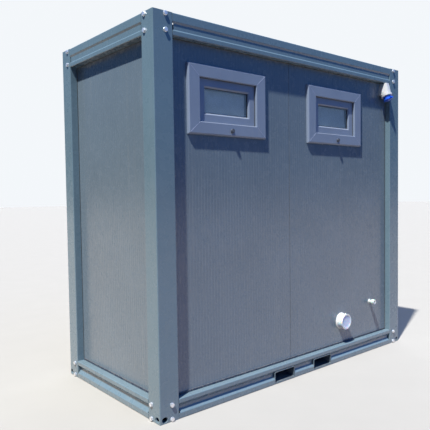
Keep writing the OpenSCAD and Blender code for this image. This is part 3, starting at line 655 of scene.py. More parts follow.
def turned(bm, outline, centre, way=ALONG_Y, steps=64):
    """Outline of (radius, distance along) points, turned about an axis and closed at its ends."""
    first, last = outline[0], outline[-1]
    if first != last:
        outline = [(0, first[1]), *outline] if first[0] > 0 else list(outline)
        outline = [*outline, (0, last[1])] if last[0] > 0 else outline
    before = set(bm.verts)
    points = [bm.verts.new((radius, 0, along)) for radius, along in outline]
    edges = [bm.edges.new(pair) for pair in zip(points, points[1:])]
    bmesh.ops.spin(bm, geom=points + edges, cent=(0, 0, 0), axis=(0, 0, 1), dvec=(0, 0, 0),
                   angle=2 * math.pi, steps=steps, use_merge=True, use_duplicate=False)
    put(bm, before, Matrix.Translation(centre) @ facing(way))


def torus_outline(radius, thick, sides=12):
    """Closed round section for a sealing ring."""
    angles = [2 * math.pi * (i % sides) / sides for i in range(sides + 1)]
    return [(radius + thick * math.cos(angle), thick * math.sin(angle)) for angle in angles]


def picture_frame(bm, centre, w, h, width, y0, y1, edge):
    """Flat frame in the X-Z plane: a plate with its middle cut out, from depth y0 to y1."""
    made = bmesh.ops.create_grid(bm, x_segments=1, y_segments=1, size=0.5)["verts"]
    turn = Matrix.Rotation(math.radians(90), 4, "X")
    bmesh.ops.transform(bm, matrix=turn @ Matrix.Diagonal((w, h, 1, 1)), verts=made)
    bmesh.ops.translate(bm, vec=Vector((centre.x, y0, centre.z)), verts=made)
    face = made[0].link_faces[0]
    rim = bmesh.ops.inset_region(bm, faces=[face], thickness=width, use_boundary=True,
                                 use_even_offset=True)["faces"]
    bmesh.ops.delete(bm, geom=[face], context="FACES")
    grown = bmesh.ops.extrude_face_region(bm, geom=rim)["geom"]
    moved = [g for g in grown if isinstance(g, bmesh.types.BMVert)]
    bmesh.ops.translate(bm, vec=Vector((0, y1 - y0, 0)), verts=moved)
    whole = {e for v in moved for e in v.link_edges}
    bevel(bm, [e for e in whole if len(e.link_faces) == 2 and e.calc_face_angle(0) > 0.5], edge)


def around(count, radius, start=0):
    """Points evenly round a circle."""
    angles = [start + 2 * math.pi * i / count for i in range(count)]
    return [(radius * math.cos(angle), radius * math.sin(angle)) for angle in angles]


def loop_points(centre, w, h, corner, plane="XZ", steps=5):
    """Rectangle with round corners in a plane, as points round a centre."""
    points = []
    for quarter, (sx, sy) in enumerate(((1, 1), (-1, 1), (-1, -1), (1, -1))):
        for i in range(steps + 1):
            angle = math.radians(90 * (quarter + i / steps))
            a = sx * (w / 2 - corner) + corner * math.cos(angle)
            b = sy * (h / 2 - corner) + corner * math.sin(angle)
            points.append(Vector(centre) + Vector({"XZ": (a, 0, b), "YZ": (0, a, b)}[plane]))
    return points


# Pieces: each takes a finish and rides on a body


def new_mesh(name, bm):
    mesh = bpy.data.meshes.new(name)
    bm.to_mesh(mesh)
    bm.free()
    return mesh


def new_object(name, data):
    made = bpy.data.objects.new(name, data)
    bpy.context.scene.collection.objects.link(made)
    return made


def set_out(name, data, finish, body):
    data.materials.append(FINISHES[finish])
    piece = new_object(name, data)
    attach(piece, body)
    return piece


def make(name, finish, *shapes, body=BODY, slot=None, sharp=32):
    """A piece of one or more shapes, each given as its helper and what that takes."""
    bm = bmesh.new()
    for shape, *values in shapes:
        shape(bm, *values)
    bmesh.ops.remove_doubles(bm, verts=bm.verts, dist=1e-6)
    bmesh.ops.recalc_face_normals(bm, faces=bm.faces)
    for edge in bm.edges:
        edge.smooth = len(edge.link_faces) == 2 and edge.calc_face_angle(0) < math.radians(sharp)
    for face in bm.faces:
        face.smooth = True
    return set_out(name, new_mesh(name, bm), finish, body)


def add_line(name, runs, radius, finish, body=BODY, closed=True):
    """Round strips or wires along one or more runs of points."""
    curve = bpy.data.curves.new(name, "CURVE")
    curve.dimensions = "3D"
    curve.bevel_depth = radius
    curve.bevel_resolution = 2
    curve.use_fill_caps = not closed
    for points in runs:
        spline = curve.splines.new("POLY")
        spline.points.add(len(points) - 1)
        for place, point in zip(spline.points, points):
            place.co = (*point, 1)
        spline.use_cyclic_u = closed
    return set_out(name, curve, finish, body)


# Windows

WINDOW_HEIGHT = 0.45
WINDOW_PROUD = 0.022  # frame in front of the wall
SIGHT_CUT = (0.19, 0.166)  # window less sight opening
GLASS_SIZE = (0.388, 0.165)
GLASS_FACE = 0.016  # outer pane behind the wall's face
GLASS_DEPTH = 0.024
GLASS_SHEET = 0.004


def window_middle(side):
    return Vector((middle("window_frame_" + side).x, -wall_y, middle("window_glass_" + side).z))


def window_width(side):
    low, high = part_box("window_frame_" + side)
    return high.x - low.x


def make_window_seals(side):
    """Sealing strips between sash and frame, and round both faces of the pane."""
    centre = window_middle(side)
    sight = loop_points(shifted(centre, y=-0.0026), window_width(side) - SIGHT_CUT[0] - 0.002,
                        WINDOW_HEIGHT - SIGHT_CUT[1] - 0.002, 0.006)
    add_line("window_seal_" + side, [sight], 0.0022, "rubber")
    runs = [loop_points(shifted(centre, y=y), GLASS_SIZE[0] - 0.003, GLASS_SIZE[1] - 0.003, 0.004)
            for y in (GLASS_FACE - 0.0012, GLASS_FACE + GLASS_DEPTH + 0.0012)]
    add_line("glazing_seal_" + side, runs, 0.0019, "rubber", "window_sash_" + side)


def weld(bm, place, slope, reach):
    """Thin raised line across a mitred corner."""
    before = set(bm.verts)
    plate(bm, (-reach / 2 + 0.013, -0.0006, -0.0014), (reach / 2 - 0.008, 0.0014, 0.0014), 0.0005, 1)
    put(bm, before, Matrix.Translation(place) @ slope)


def make_corner_welds(side):
    """Pale weld lines across the mitred corners of the window frame."""
    centre = window_middle(side)
    cut_w, cut_h = SIGHT_CUT[0] / 2, SIGHT_CUT[1] / 2
    across = (window_width(side) - cut_w) / 2
    up = (WINDOW_HEIGHT - cut_h) / 2
    welds = []
    for sx, sz in product(BOTH, BOTH):
        slope = Matrix.Rotation(-math.atan2(cut_h, cut_w) * sx * sz, 4, "Y")
        if sx > 0:
            slope = slope @ Matrix.Rotation(math.pi, 4, "Y")
        place = shifted(centre, sx * across, -WINDOW_PROUD, sz * up)
        welds.append((weld, place, slope, math.hypot(cut_w, cut_h)))
    make("window_welds_" + side, "weld_line", *welds, slot="window_pvc")


def make_pane(side):
    """Double pane: clear outside, frosted inside, on an aluminium spacer."""
    low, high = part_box("window_glass_" + side)
    body = "window_sash_" + side
    inner_y = high.y - GLASS_SHEET
    for name, y, finish in (("outer", low.y, "clear_glass"), ("inner", inner_y, "window_glass")):
        sheet = (plate, (low.x, y, low.z), (high.x, y + GLASS_SHEET, high.z), 0.0006, 1)
        pane = make(f"pane_{name}_{side}", finish, sheet, body=body, slot="window_glass")
        if name == "outer":
            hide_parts("window_glass_" + side)
    spacer = (picture_frame, (low + high) / 2, high.x - low.x, high.z - low.z, 0.017,
              low.y + GLASS_SHEET, inner_y, 0.0008)
    make("pane_spacer_" + side, "fitting_steel", spacer, body=body)


def make_sash_screws(side):
    """Screw heads on the inner hardware of the window."""
    x = window_middle(side).x
    low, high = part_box("window_sash_" + side)
    head = ((0, 0.0026), (0.0022, 0.0022), (0.0036, 0.001), (0.004, 0))
    screws = [(turned, head, (x + dx, high.y - 0.022, low.z + 0.02 + dz), ALONG_Y, 16)
              for dx, dz in product((-0.2, 0.2), (0.012, 0.024))]
    make("sash_screws_" + side, "bolt_steel", *screws, body="window_sash_" + side)


# Services

DRAIN_R = 0.0635
WATER_X = 0.943
WATER_Z = 0.423
INLET_CENTRE = Vector((1.133, -0.631, 2.252))
INLET_TURN = Matrix.Rotation(math.radians(-20), 4, "X")
INLET_AXIS = INLET_TURN @ Vector(UP)
COLLAR_R = 0.0345


def drain_centre():
    low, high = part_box("drain_socket")
    return Vector(((low.x + high.x) / 2, low.y, low.z + DRAIN_R))


def make_drain_rings():
    """Lip at the socket's mouth, its rubber ring and moulding lines, and the bead at the wall."""
    centre = drain_centre()
    lip = ((0.0553, 0), (0.0553, 0.006), (0.0525, 0.0075), (0.0515, 0.006), (0.0515, 0.001),
           (0.0525, 0), (0.0553, 0))
    make("drain_lip", "pipe_white", (turned, lip, centre))
    seal = (turned, torus_outline(0.0535, 0.0022), shifted(centre, y=0.022))
    make("drain_seal_ring", "rubber", seal, slot="pipe_grey")
    bead = ((0.0598, -0.007), (0.0625, -0.006), (0.0665, -0.0028), (0.0685, 0), (0.0598, 0),
            (0.0598, -0.007))
    wall = (centre.x, -wall_y - 0.0005, centre.z)
    make("drain_wall_bead", "sealant", (turned, bead, wall), slot="pipe_white")
    lines = [(turned, torus_outline(0.0601, 0.0006, 6), shifted(centre, y=y))
             for y in (0.018, 0.021, 0.024)]
    make("drain_socket_lines", "pipe_white", *lines)


def make_drain_plug():
    """Pale transport plug just inside the drain's mouth, slightly dished."""
    outline = ((0, 0.0045), (0.022, 0.0042), (0.044, 0.0036), (0.0465, 0.003), (0.048, 0.0016),
               (0.05, 0.0012), (0.0511, 0.0022), (0.0511, 0.017), (0.0495, 0.017), (0.0475, 0.008),
               (0, 0.007))
    make("drain_plug", "plug_white", (turned, outline, drain_centre()), slot="pipe_white")


def make_water_fitting():
    """Ribs and seal of the water connection's union nut, its hexagon, and the bead at the wall."""
    centre = Vector((WATER_X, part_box("water_pipes")[0].y, WATER_Z))
    ribs = [(rod, shifted(centre, x, 0.0015, z), shifted(centre, x, 0.021, z), 0.0013, 8)
            for x, z in around(28, 0.0198)]
    make("water_nut_ribs", "pipe_white", *ribs)
    hexagon = (rod, shifted(centre, y=0.0245), shifted(centre, y=0.0315), 0.0195, 6, 0.0008)
    make("water_hexagon", "pipe_white", hexagon)
    bead = ((0.0132, -0.004), (0.0175, -0.0035), (0.0205, -0.001), (0.021, 0), (0.0132, 0),
            (0.0132, -0.004))
    wall = (WATER_X, -wall_y - 0.0005, WATER_Z)
    make("water_wall_bead", "sealant", (turned, bead, wall, ALONG_Y, 40), slot="pipe_white")
    washer = (turned, torus_outline(0.0115, 0.002, 10), shifted(centre, y=0.004), ALONG_Y, 32)
    make("water_nut_seal", "rubber", washer, slot="pipe_grey")


def inlet_place(x, y, z):
    """A point of the power inlet, given along its tilted axis (z) and across it (x, y)."""
    return INLET_CENTRE + (INLET_TURN @ Vector((x, y, z)))


def make_inlet_details():
    """Ribs round the blue collar, contact pins, the lid's seal, and the housing's screws and ring."""
    ribs = [(rod, inlet_place(x, y, -0.033), inlet_place(x, y, -0.012), 0.0012, 8)
            for x, y in around(30, COLLAR_R)
            if y > -0.88 * COLLAR_R]       # the lid's hinge takes the rest
    make("inlet_collar_ribs", "power_blue", *ribs)
    pins = [(rod, inlet_place(x, y, -0.034), inlet_place(x, y, 0), 0.0018, 16, 0.0005)
            for x, y in around(3, 0.017, math.radians(90))]
    make("inlet_pins", "brass", *pins, slot="fitting_steel")
    seal = (turned, torus_outline(0.0265, 0.0014, 10), inlet_place(0, 0, -0.0405), INLET_AXIS, 48)
    make("inlet_lid_seal", "rubber", seal, body="inlet_lid", slot="power_blue")
    head = ((0, 0.0022), (0.0018, 0.0019), (0.0032, 0.0008), (0.0034, 0))
    screws = [(turned, head, inlet_place(x, 0, -0.01), -INLET_AXIS, 16) for x in (-0.0414, 0.0414)]
    make("inlet_screws", "bolt_steel", *screws)
    ring = ((0.035, -0.01), (0.0352, -0.012), (0.0375, -0.0128), (0.0395, -0.0118), (0.04, -0.01),
            (0.035, -0.01))
    make("inlet_ring", "pipe_white", (turned, ring, inlet_place(0, 0, 0), INLET_AXIS))


# Frame

POCKET_X = 0.221
POCKET_W = 0.214
BOLT_IN = 0.09
WASHER_R = 0.015
WASHER_H = 0.002
HEAD_R = 0.0138
HEAD_H = 0.009
CHAMFER = 0.0012


def bolt(bm, spot, out):
    """Washer, hexagon head turned any way, its chamfered top, and the shank."""
    washer = ((0, 0), (WASHER_R - 0.0004, 0), (WASHER_R, 0.0006), (WASHER_R - 0.0005, WASHER_H),
              (0, WASHER_H))
    turned(bm, washer, spot, out, 24)
    shoulder = spot + out * (WASHER_H + HEAD_H - CHAMFER)
    rod(bm, spot + out * WASHER_H, shoulder, HEAD_R, 6, spin=random.uniform(0, math.pi / 3))
    top = ((HEAD_R * 0.95, 0), (HEAD_R * 0.82, CHAMFER), (0, CHAMFER))
    turned(bm, top, shoulder, out, 24)
    rod(bm, spot - out * 0.024, spot, 0.008, 16)


def make_bolts():
    """Hexagon bolts on two faces and at four heights of each corner."""
    bolts = []
    for sx, sy, z in product(BOTH, BOTH, (0.016, 0.105, frame_top - 0.112, frame_top - 0.015)):
        bolts.append((bolt, Vector((sx * (half_l - BOLT_IN), sy * half_w, z)), Vector((0, sy, 0))))
        bolts.append((bolt, Vector((sx * half_l, sy * (half_w - BOLT_IN), z)), Vector((sx, 0, 0))))
    piece = make("corner_bolts", "bolt_steel", *bolts, sharp=25)
    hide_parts("frame_bolts")


def weld_run(points, step=0.006):
    """Points along a closed run, a little off line as a hand weld is."""
    run = []
    for start, end in zip(points, points[1:] + points[:1]):
        count = max(1, int((end - start).length / step))
        for i in range(count):
            wobble = Vector([random.uniform(-0.0004, 0.0004) for _ in range(3)])
            run.append(start.lerp(end, i / count) + wobble)
    return run


def make_pocket_welds():
    """Painted weld beads round the mouths of the fork pockets."""
    low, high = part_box("fork_pockets")
    mid_z = (low.z + high.z) / 2
    mouths = [(sx * POCKET_X, sy * (half_w - 0.003), mid_z) for sx, sy in product(BOTH, BOTH)]
    runs = [weld_run(loop_points(mouth, POCKET_W, high.z - low.z, 0.012, steps=4)) for mouth in mouths]
    add_line("pocket_welds", runs, 0.0018, "frame_paint")


def make_wall_seals():
    """Dark sealing strips where the walls meet the frame, and at their foot a wider navy strip that is
    painted shade above the floor rail.
    """
    low_z = 0.128
    inset = 0.0015
    long_w = 2 * (half_l - (post_high.x - post_low.x)) - 2 * inset
    end_w = 2 * (half_w - (post_high.y - post_low.y)) - 2 * inset
    height = roof_z - low_z - 2 * inset
    mid_z = (roof_z + low_z) / 2
    runs = [loop_points((0, s * (wall_y + 0.0012), mid_z), long_w, height, 0.002, steps=1) for s in BOTH]
    runs += [loop_points((s * (wall_x + 0.0012), 0, mid_z), end_w, height, 0.002, "YZ", 1) for s in BOTH]
    add_line("wall_seals", runs, 0.0022, "rubber")
    # painted shade: a navy strip, 15 mm high and 4 mm proud, along the foot of each wall where shade falls
    # above the rail
    feet = []
    top = low_z + 0.015
    for s in BOTH:
        feet.append((plate, (-long_w / 2, s * wall_y, low_z), (long_w / 2, s * (wall_y + 0.004), top)))
        feet.append((plate, (s * wall_x, -end_w / 2, low_z), (s * (wall_x + 0.004), end_w / 2, top)))
    make("wall_foot_painted_shade", "painted_shade_navy", *feet, slot="frame_paint")


def make_joint_seals():
    """Dark sealing strips deep in the joints between two wall panels."""
    runs = []
    for wall, sign in (("service", -1), ("door", 1)):
        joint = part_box(f"{wall}_wall_panel_left")[1].x + 0.0008
        y = sign * (wall_y - 0.0022)
        runs.append([(joint, y, 0.135), (joint, y, roof_z - 0.006)])
    add_line("panel_joint_seals", runs, 0.0019, "rubber", closed=False)


def make_roof_screws():
    """Sheet screws with washers along the ribs of the roof sheet."""
    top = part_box("roof_sheet")[1].z
    washer = ((0.0095, 0), (0.009, 0.0014), (0.0045, 0.0022))
    screws = []
    for i, y in product(range(13), (-0.45, -0.15, 0.15, 0.45)):
        spot = Vector((-1.2 + 0.2 * i, y, top))
        screws.append((turned, washer, spot, UP, 16))
        screws.append((rod, shifted(spot, z=0.002), shifted(spot, z=0.0075), 0.0046, 6, 0.0006))
    make("roof_screws", "bolt_steel", *screws)


# Doors

DOOR_X = 0.68
LEAF_W = 0.816
LEAF_LOW = 0.156
LEAF_HIGH = 2.186
LEAF_IN = 0.536
LEAF_OUT = 0.576
HINGE_AXIS = (1.09, 0.588)
HINGE_HEIGHTS = (0.38, 1.18, 1.96)
KNUCKLE = 0.045
LEVER_X = 0.332
LEVER_Z = 1.2005
TURN_Z = 1.1225


def make_door_seals(side):
    """Rubber strips round the leaf's edge and against its inner face."""
    mid_z = (LEAF_LOW + LEAF_HIGH) / 2
    height = LEAF_HIGH - LEAF_LOW
    for name, y, more, radius in (("outer", LEAF_OUT - 0.004, 0.0042, 0.0017),
                                  ("inner", LEAF_IN - 0.0012, -0.014, 0.0012)):
        run = loop_points((SIDES[side] * DOOR_X, y, mid_z), LEAF_W + more, height + more, 0.003, steps=2)
        add_line(f"door_seal_{name}_{side}", [run], radius, "rubber")


def make_hinge_caps(side):
    """Domed caps on the ends of the hinge knuckles."""
    x = SIDES[side] * HINGE_AXIS[0]
    dome = ((0, 0.0062), (0.004, 0.0058), (0.0072, 0.0042), (0.0088, 0.0018), (0.0088, 0), (0, 0))
    for name, way, end, body in (("upper", 1, KNUCKLE + 0.001, "door_leaf_" + side),
                                 ("lower", -1, -KNUCKLE, BODY)):
        caps = [(turned, dome, (x, HINGE_AXIS[1], z + end), (0, 0, way), 24) for z in HINGE_HEIGHTS]
        make(f"hinge_caps_{name}_{side}", "plastic_black", *caps, body=body, slot="fitting_steel")


def make_hinge_screws(side):
    """Countersunk screws in both leaves of each hinge."""
    s = SIDES[side]
    head = ((0, 0.0004), (0.0012, 0.0012), (0.0032, 0.0014), (0.0036, 0))
    on_leaf, on_frame = [], []
    for z, dz in product(HINGE_HEIGHTS, (0.01, 0.034)):
        at = (s * (HINGE_AXIS[0] - 0.026), LEAF_OUT + 0.004, z + 0.001 + dz)
        on_leaf.append((turned, head, at, ALONG_Y, 16))
        at = (s * (HINGE_AXIS[0] + 0.022), wall_y + 0.007, z - dz)
        on_frame.append((turned, head, at, ALONG_Y, 16))
    make("hinge_screws_leaf_" + side, "bolt_steel", *on_leaf, body="door_leaf_" + side)
    make("hinge_screws_frame_" + side, "bolt_steel", *on_frame)


def half_ring(bm, radius, width, centre, start, sweep, low, high, steps=24):
    """Part of a flat ring in the X-Z plane, from depth low to high."""
    before = set(bm.verts)
    section = ((radius, low), (radius + width, low), (radius + width, high), (radius, high))
    points = [bm.verts.new((r, y, 0)) for r, y in section]
    edges = [bm.edges.new(pair) for pair in zip(points, points[1:] + points[:1])]
    face = bm.faces.new(points)
    bmesh.ops.rotate(bm, verts=points, cent=(0, 0, 0), matrix=Matrix.Rotation(-start, 3, "Y"))
    bmesh.ops.spin(bm, geom=points + edges + [face], cent=(0, 0, 0), axis=AGAINST_Y, dvec=(0, 0, 0),
                   angle=sweep, steps=steps, use_merge=False, use_duplicate=False)
    put(bm, before, Matrix.Translation(centre))


def make_indicator(side):
    """Green and red disc on the thumb-turn's spindle behind a cover with a window."""
    s = SIDES[side]
    centre = (s * LEVER_X, LEAF_OUT + 0.007, TURN_Z)
    quarter = math.radians(80)
    up = math.radians(90)
    for finish, at in (("sign_green", up), ("sign_red", up + s * up)):
        disc = (half_ring, 0.0144, 0.0056, centre, at - quarter / 2, quarter, 0.0002, 0.0008)
        make(f"{finish}_{side}", finish, disc, body="door_turn_" + side, slot="fitting_steel")
    window = math.radians(64)
    cover = (half_ring, 0.0142, 0.0072, centre, up + window / 2, 2 * math.pi - window, 0.001, 0.0022, 48)
    make("indicator_cover_" + side, "fitting_steel", cover, body="door_leaf_" + side)


def make_rosette_screws(side):
    head = ((0, 0.0004), (0.001, 0.001), (0.0026, 0.0012), (0.003, 0))
    screws = [(turned, head, (SIDES[side] * LEVER_X + dx, y, LEVER_Z), way, 16)
              for dx, (y, way) in product((-0.019, 0.019),
                                          ((LEAF_OUT + 0.007, ALONG_Y), (LEAF_IN - 0.007, AGAINST_Y)))]
    make("rosette_screws_" + side, "bolt_steel", *screws, body="door_leaf_" + side)


def edge_plate(side, depths, half_y, down, up, *edge):
    """Plate at the leaf's free edge: how far out from it, half its width, and its reach in height."""
    free = DOOR_X - LEAF_W / 2
    mid_y = (LEAF_IN + LEAF_OUT) / 2
    xs = [SIDES[side] * (free - depth) for depth in depths]
    return (plate, *zip(xs, (mid_y - half_y, mid_y + half_y), (LEVER_Z - down, LEVER_Z + up)), *edge)


def make_latch(side):
    """Face plate and latch on the leaf's free edge, and the strike plate in the frame."""
    face = edge_plate(side, (0.0014, -0.001), 0.011, 0.12, 0.055, 0.0004, 1)
    tongue = edge_plate(side, (0.003, 0), 0.007, 0.012, 0.012, 0.0012, 2)
    make("latch_" + side, "fitting_steel", face, tongue, body="door_leaf_" + side)
    strike = edge_plate(side, (0.0046, 0.0036), 0.012, 0.09, 0.04, 0.0003, 1)
    make("strike_plate_" + side, "fitting_steel", strike)


def make_sill(side):
    """Ribbed tread plate on the threshold."""
    x = SIDES[side] * DOOR_X
    low, high = 0.1521, 0.1536
    tread = (plate, (x - 0.395, in_y + 0.003, low), (x + 0.395, LEAF_OUT - 0.002, high), 0.0005, 1)
    ribs = []
    for i in range(7):
        y = in_y + 0.01 + 0.0075 * i
        ribs.append((rod, (x - 0.388, y, high - 0.0003), (x + 0.388, y, high - 0.0003), 0.0009, 8))
    make("door_sill_" + side, "fitting_steel", tread, *ribs)


def ball(bm, centre, radius):
    bmesh.ops.create_icosphere(bm, subdivisions=3, radius=radius, matrix=Matrix.Translation(centre))


def make_coat_hook(side):
    """Hook with a ball end on the door's inner face."""
    x = SIDES[side] * DOOR_X
    body = "door_leaf_" + side
    back = (plate, (x - 0.014, LEAF_IN - 0.004, 1.7), (x + 0.014, LEAF_IN, 1.775), 0.0015)
    head = ((0, 0.0014), (0.002, 0.0012), (0.0036, 0))
    screws = [(turned, head, (x, LEAF_IN - 0.004, z), AGAINST_Y, 16) for z in (1.71, 1.765)]
    end = (ball, (x, LEAF_IN - 0.0432, 1.762), 0.0075)
    make("coat_hook_plate_" + side, "tap_chrome", back, *screws, end, body=body, slot="fitting_steel")
    bend = [(x, LEAF_IN - 0.003, 1.738)]
    for i in range(9):
        angle = math.radians(-90 - 90 * i / 8)
        bend.append((x, LEAF_IN - 0.023 + 0.02 * math.cos(angle), 1.758 + 0.02 * math.sin(angle)))
    add_line("coat_hook_arm_" + side, [bend], 0.0042, "tap_chrome", body, closed=False)


# Cabins

TOILET_XS = {"left": -0.68, "right": 0.528}
PARTITION_FACES = {"left": -0.14, "right": -0.1}
LIGHT_XS = {"left": -0.68, "right": 0.56}
LIGHT_Y = middle("ceiling_lights").y
BIN_XS = {"left": -0.97, "right": 0.895}
SWITCH_XS = {"left": -0.19, "right": 0.12}
BASIN_Y = 0.12
BASIN_TOP = 1.0005


def on_wall(side, depths, ys, zs, *edge):
    """Block on the cabin's end wall: its depths out from the wall, and its reach along Y and Z."""
    xs = [SIDES[side] * (in_x - depth) for depth in depths]
    return (plate, *zip(xs, ys, zs), *edge)


def make_mirror(side):
    """Bevelled mirror over the basin, held by four clips."""
    glass = on_wall(side, (0, 0.005), (BASIN_Y - 0.2, BASIN_Y + 0.2), (1.3, 1.85), 0.0018, 1)
    make("mirror_" + side, "mirror", glass, slot="fitting_steel")
    clips = [on_wall(side, (0, 0.008), (BASIN_Y + y - 0.012, BASIN_Y + y + 0.012), (z, z + 0.01), 0.0015)
             for y, z in product((-0.13, 0.13), (1.294, 1.846))]
    make("mirror_clips_" + side, "fitting_steel", *clips)


def make_soap_dispenser(side):
    spout = SIDES[side] * (in_x - 0.055)
    make("soap_dispenser_" + side, "sanitary_plastic",
         on_wall(side, (0, 0.092), (0.375, 0.465), (1.23, 1.42), 0.014, 4),
         on_wall(side, (0.07, 0.102), (0.385, 0.455), (1.236, 1.285), 0.006, 3),
         (rod, (spout, 0.42, 1.215), (spout, 0.42, 1.232), 0.009, 24, 0.001))
    window = on_wall(side, (0.0915, 0.0935), (0.412, 0.428), (1.3, 1.395), 0.0008)
    make("soap_window_" + side, "smoked_plastic", window, slot="sanitary_plastic")


def make_towel_box(side):
    box = on_wall(side, (0, 0.11), (-0.4, -0.14), (1.3, 1.64), 0.016, 4)
    make("towel_box_" + side, "sanitary_plastic", box)
    sheet = on_wall(side, (0.06, 0.063), (-0.37, -0.17), (1.262, 1.312), 0.0008, 1)
    make("towel_sheet_" + side, "paper", sheet, slot="sanitary_plastic")


def make_paper_roll(side):
    """Toilet paper on its holder at the partition."""
    face = PARTITION_FACES[side]
    out = SIDES[side]
    y, z, r = -0.02, 0.86, 0.052
    x = face + out * 0.07
    roll = ((0.02, -0.047), (r - 0.002, -0.048), (r, -0.046), (r, 0.046), (r - 0.002, 0.048),
            (0.02, 0.047), (0.02, -0.047))
    make("paper_roll_" + side, "paper", (turned, roll, (x, y, z)), slot="sanitary_plastic")
    end = (plate, (x + out * r, y - 0.046, z - 0.095), (x + out * (r - 0.0012), y + 0.046, z), 0.0003, 1)
    make("paper_end_" + side, "paper", end, slot="sanitary_plastic")
    back = (plate, (face, y - 0.075, z - 0.02), (face + out * 0.006, y + 0.075, z + 0.085), 0.002)
    bar = (rod, (x, y - 0.062, z), (x, y + 0.062, z), 0.006, 24, 0.001)
    arms = [(plate, (face + out * 0.004, y + dy - 0.0015, z - 0.012),
             (x + out * 0.012, y + dy + 0.0015, z + 0.012), 0.001, 1) for dy in (-0.062, 0.062)]
    make("paper_holder_" + side, "tap_chrome", back, bar, *arms, slot="fitting_steel")


def make_bin(side):
    """Swing-top waste bin on the cabin floor."""
    place = (BIN_XS[side], -0.29, floor_top + 0.0005)
    pail = ((0, 0), (0.083, 0), (0.086, 0.004), (0.098, 0.262), (0.101, 0.266), (0.101, 0.276),
            (0.098, 0.28), (0.095, 0.276), (0.083, 0.008), (0, 0.008))
    make("waste_bin_" + side, "brushed_bin", (turned, pail, place, UP, 48), slot="fitting_steel")
    dome = ((0, 0.318), (0.03, 0.316), (0.062, 0.306), (0.086, 0.29), (0.0985, 0.2805), (0.0985, 0.277),
            (0.09, 0.281), (0.06, 0.297), (0, 0.308))
    make("waste_bin_lid_" + side, "plastic_black", (turned, dome, place, UP, 48), slot="fitting_steel")


def make_switch(side):
    """Surface switch by the door, with its conduit up to the ceiling and on to the light."""
    x = SWITCH_XS[side]
    box = (plate, (x - 0.037, in_y - 0.03, 1.11), (x + 0.037, in_y, 1.184), 0.004, 3)
    make("switch_box_" + side, "sanitary_plastic", box)
    rocker = (plate, (x - 0.026, in_y - 0.0345, 1.121), (x + 0.026, in_y - 0.029, 1.173), 0.002, 2)
    make("switch_rocker_" + side, "lamp_white", rocker)
    y, top = in_y - 0.012, ceiling - 0.012
    run = [(x, y, 1.184), (x, y, top), (x, LIGHT_Y, top), (LIGHT_XS[side], LIGHT_Y, top)]
    add_line("switch_conduit_" + side, [run], 0.008, "sanitary_plastic", closed=False)


def make_skirting(side):
    """Coved skirting along the cabin's walls, left open at the door."""
    s = SIDES[side]
    x0, x1 = sorted((s * in_x, PARTITION_FACES[side]))
    gap = sorted((s * (DOOR_X - 0.44), s * (DOOR_X + 0.44)))
    deep, end = 0.008, in_y - 0.001
    runs = [((x0, -in_y), (x1, deep - in_y)), ((x0, -end), (x0 + deep, end)), ((x1 - deep, -end), (x1, end))]
    runs += [((a, in_y - deep), (b, in_y)) for a, b in ((x0, gap[0]), (gap[1], x1)) if b - a > 0.02]
    top = floor_top + 0.06
    boards = [(plate, (*low, floor_top), (*high, top), 0.0025) for low, high in runs]
    make("skirting_" + side, "plastic_grey", *boards, slot="inner_white")


def make_light_rims():
    """Rims and ring lines of the two ceiling lights."""
    rim = ((0.1225, -0.0185), (0.13, -0.0195), (0.1325, -0.016), (0.1325, -0.002), (0.13, 0),
           (0.1225, -0.0185))
    rings = []
    for x in LIGHT_XS.values():
        rings.append((turned, rim, (x, LIGHT_Y, ceiling), UP))
        rings += [(turned, torus_outline(radius, 0.0014, 8), (x, LIGHT_Y, ceiling - 0.052), UP)
                  for radius in (0.03, 0.06, 0.09)]
    make("light_rims", "lamp_white", *rings)


def make_seat_buffers(side):
    """Rubber feet under the seat."""
    foot = ((0, 0), (0.009, 0), (0.01, 0.001), (0.01, 0.0026), (0, 0.0026))
    feet = [(turned, foot, (TOILET_XS[side] + dx, -in_y + y, floor_top + 0.4005), UP, 20)
            for dx, y in ((-0.145, 0.33), (0.145, 0.33), (-0.11, 0.52), (0.11, 0.52))]
    make("seat_buffers_" + side, "rubber", *feet, body="toilet_seat_" + side, slot="sanitary_plastic")


def make_basin_wastes():
    """Chrome waste cups in the basins."""
    cup = ((0, 0.0005), (0.014, 0.0004), (0.0155, 0.0022), (0.026, 0.0026), (0.0285, 0.0012),
           (0.0285, 0), (0, 0))
    cups = [(turned, cup, (s * (in_x - 0.13), BASIN_Y, BASIN_TOP - 0.098), UP, 40) for s in BOTH]
    make("basin_wastes", "tap_chrome", *cups)


OUTSIDE = (make_bolts, make_pocket_welds, make_wall_seals, make_joint_seals, make_roof_screws,
           make_drain_rings, make_drain_plug, make_water_fitting, make_inlet_details)
ON_EACH_SIDE = (make_window_seals, make_corner_welds, make_pane, make_sash_screws, make_door_seals,
                make_hinge_caps, make_hinge_screws, make_indicator, make_rosette_screws, make_latch,
                make_sill)
IN_EACH_CABIN = (make_coat_hook, make_mirror, make_soap_dispenser, make_towel_box, make_paper_roll,
                 make_bin, make_switch, make_skirting, make_seat_buffers)

for build in OUTSIDE:
    build()
for cabin, build in product(SIDES, ON_EACH_SIDE):
    build(cabin)
make_light_rims()
make_basin_wastes()
for cabin, build in product(SIDES, IN_EACH_CABIN):
    build(cabin)

# Floor, light and camera

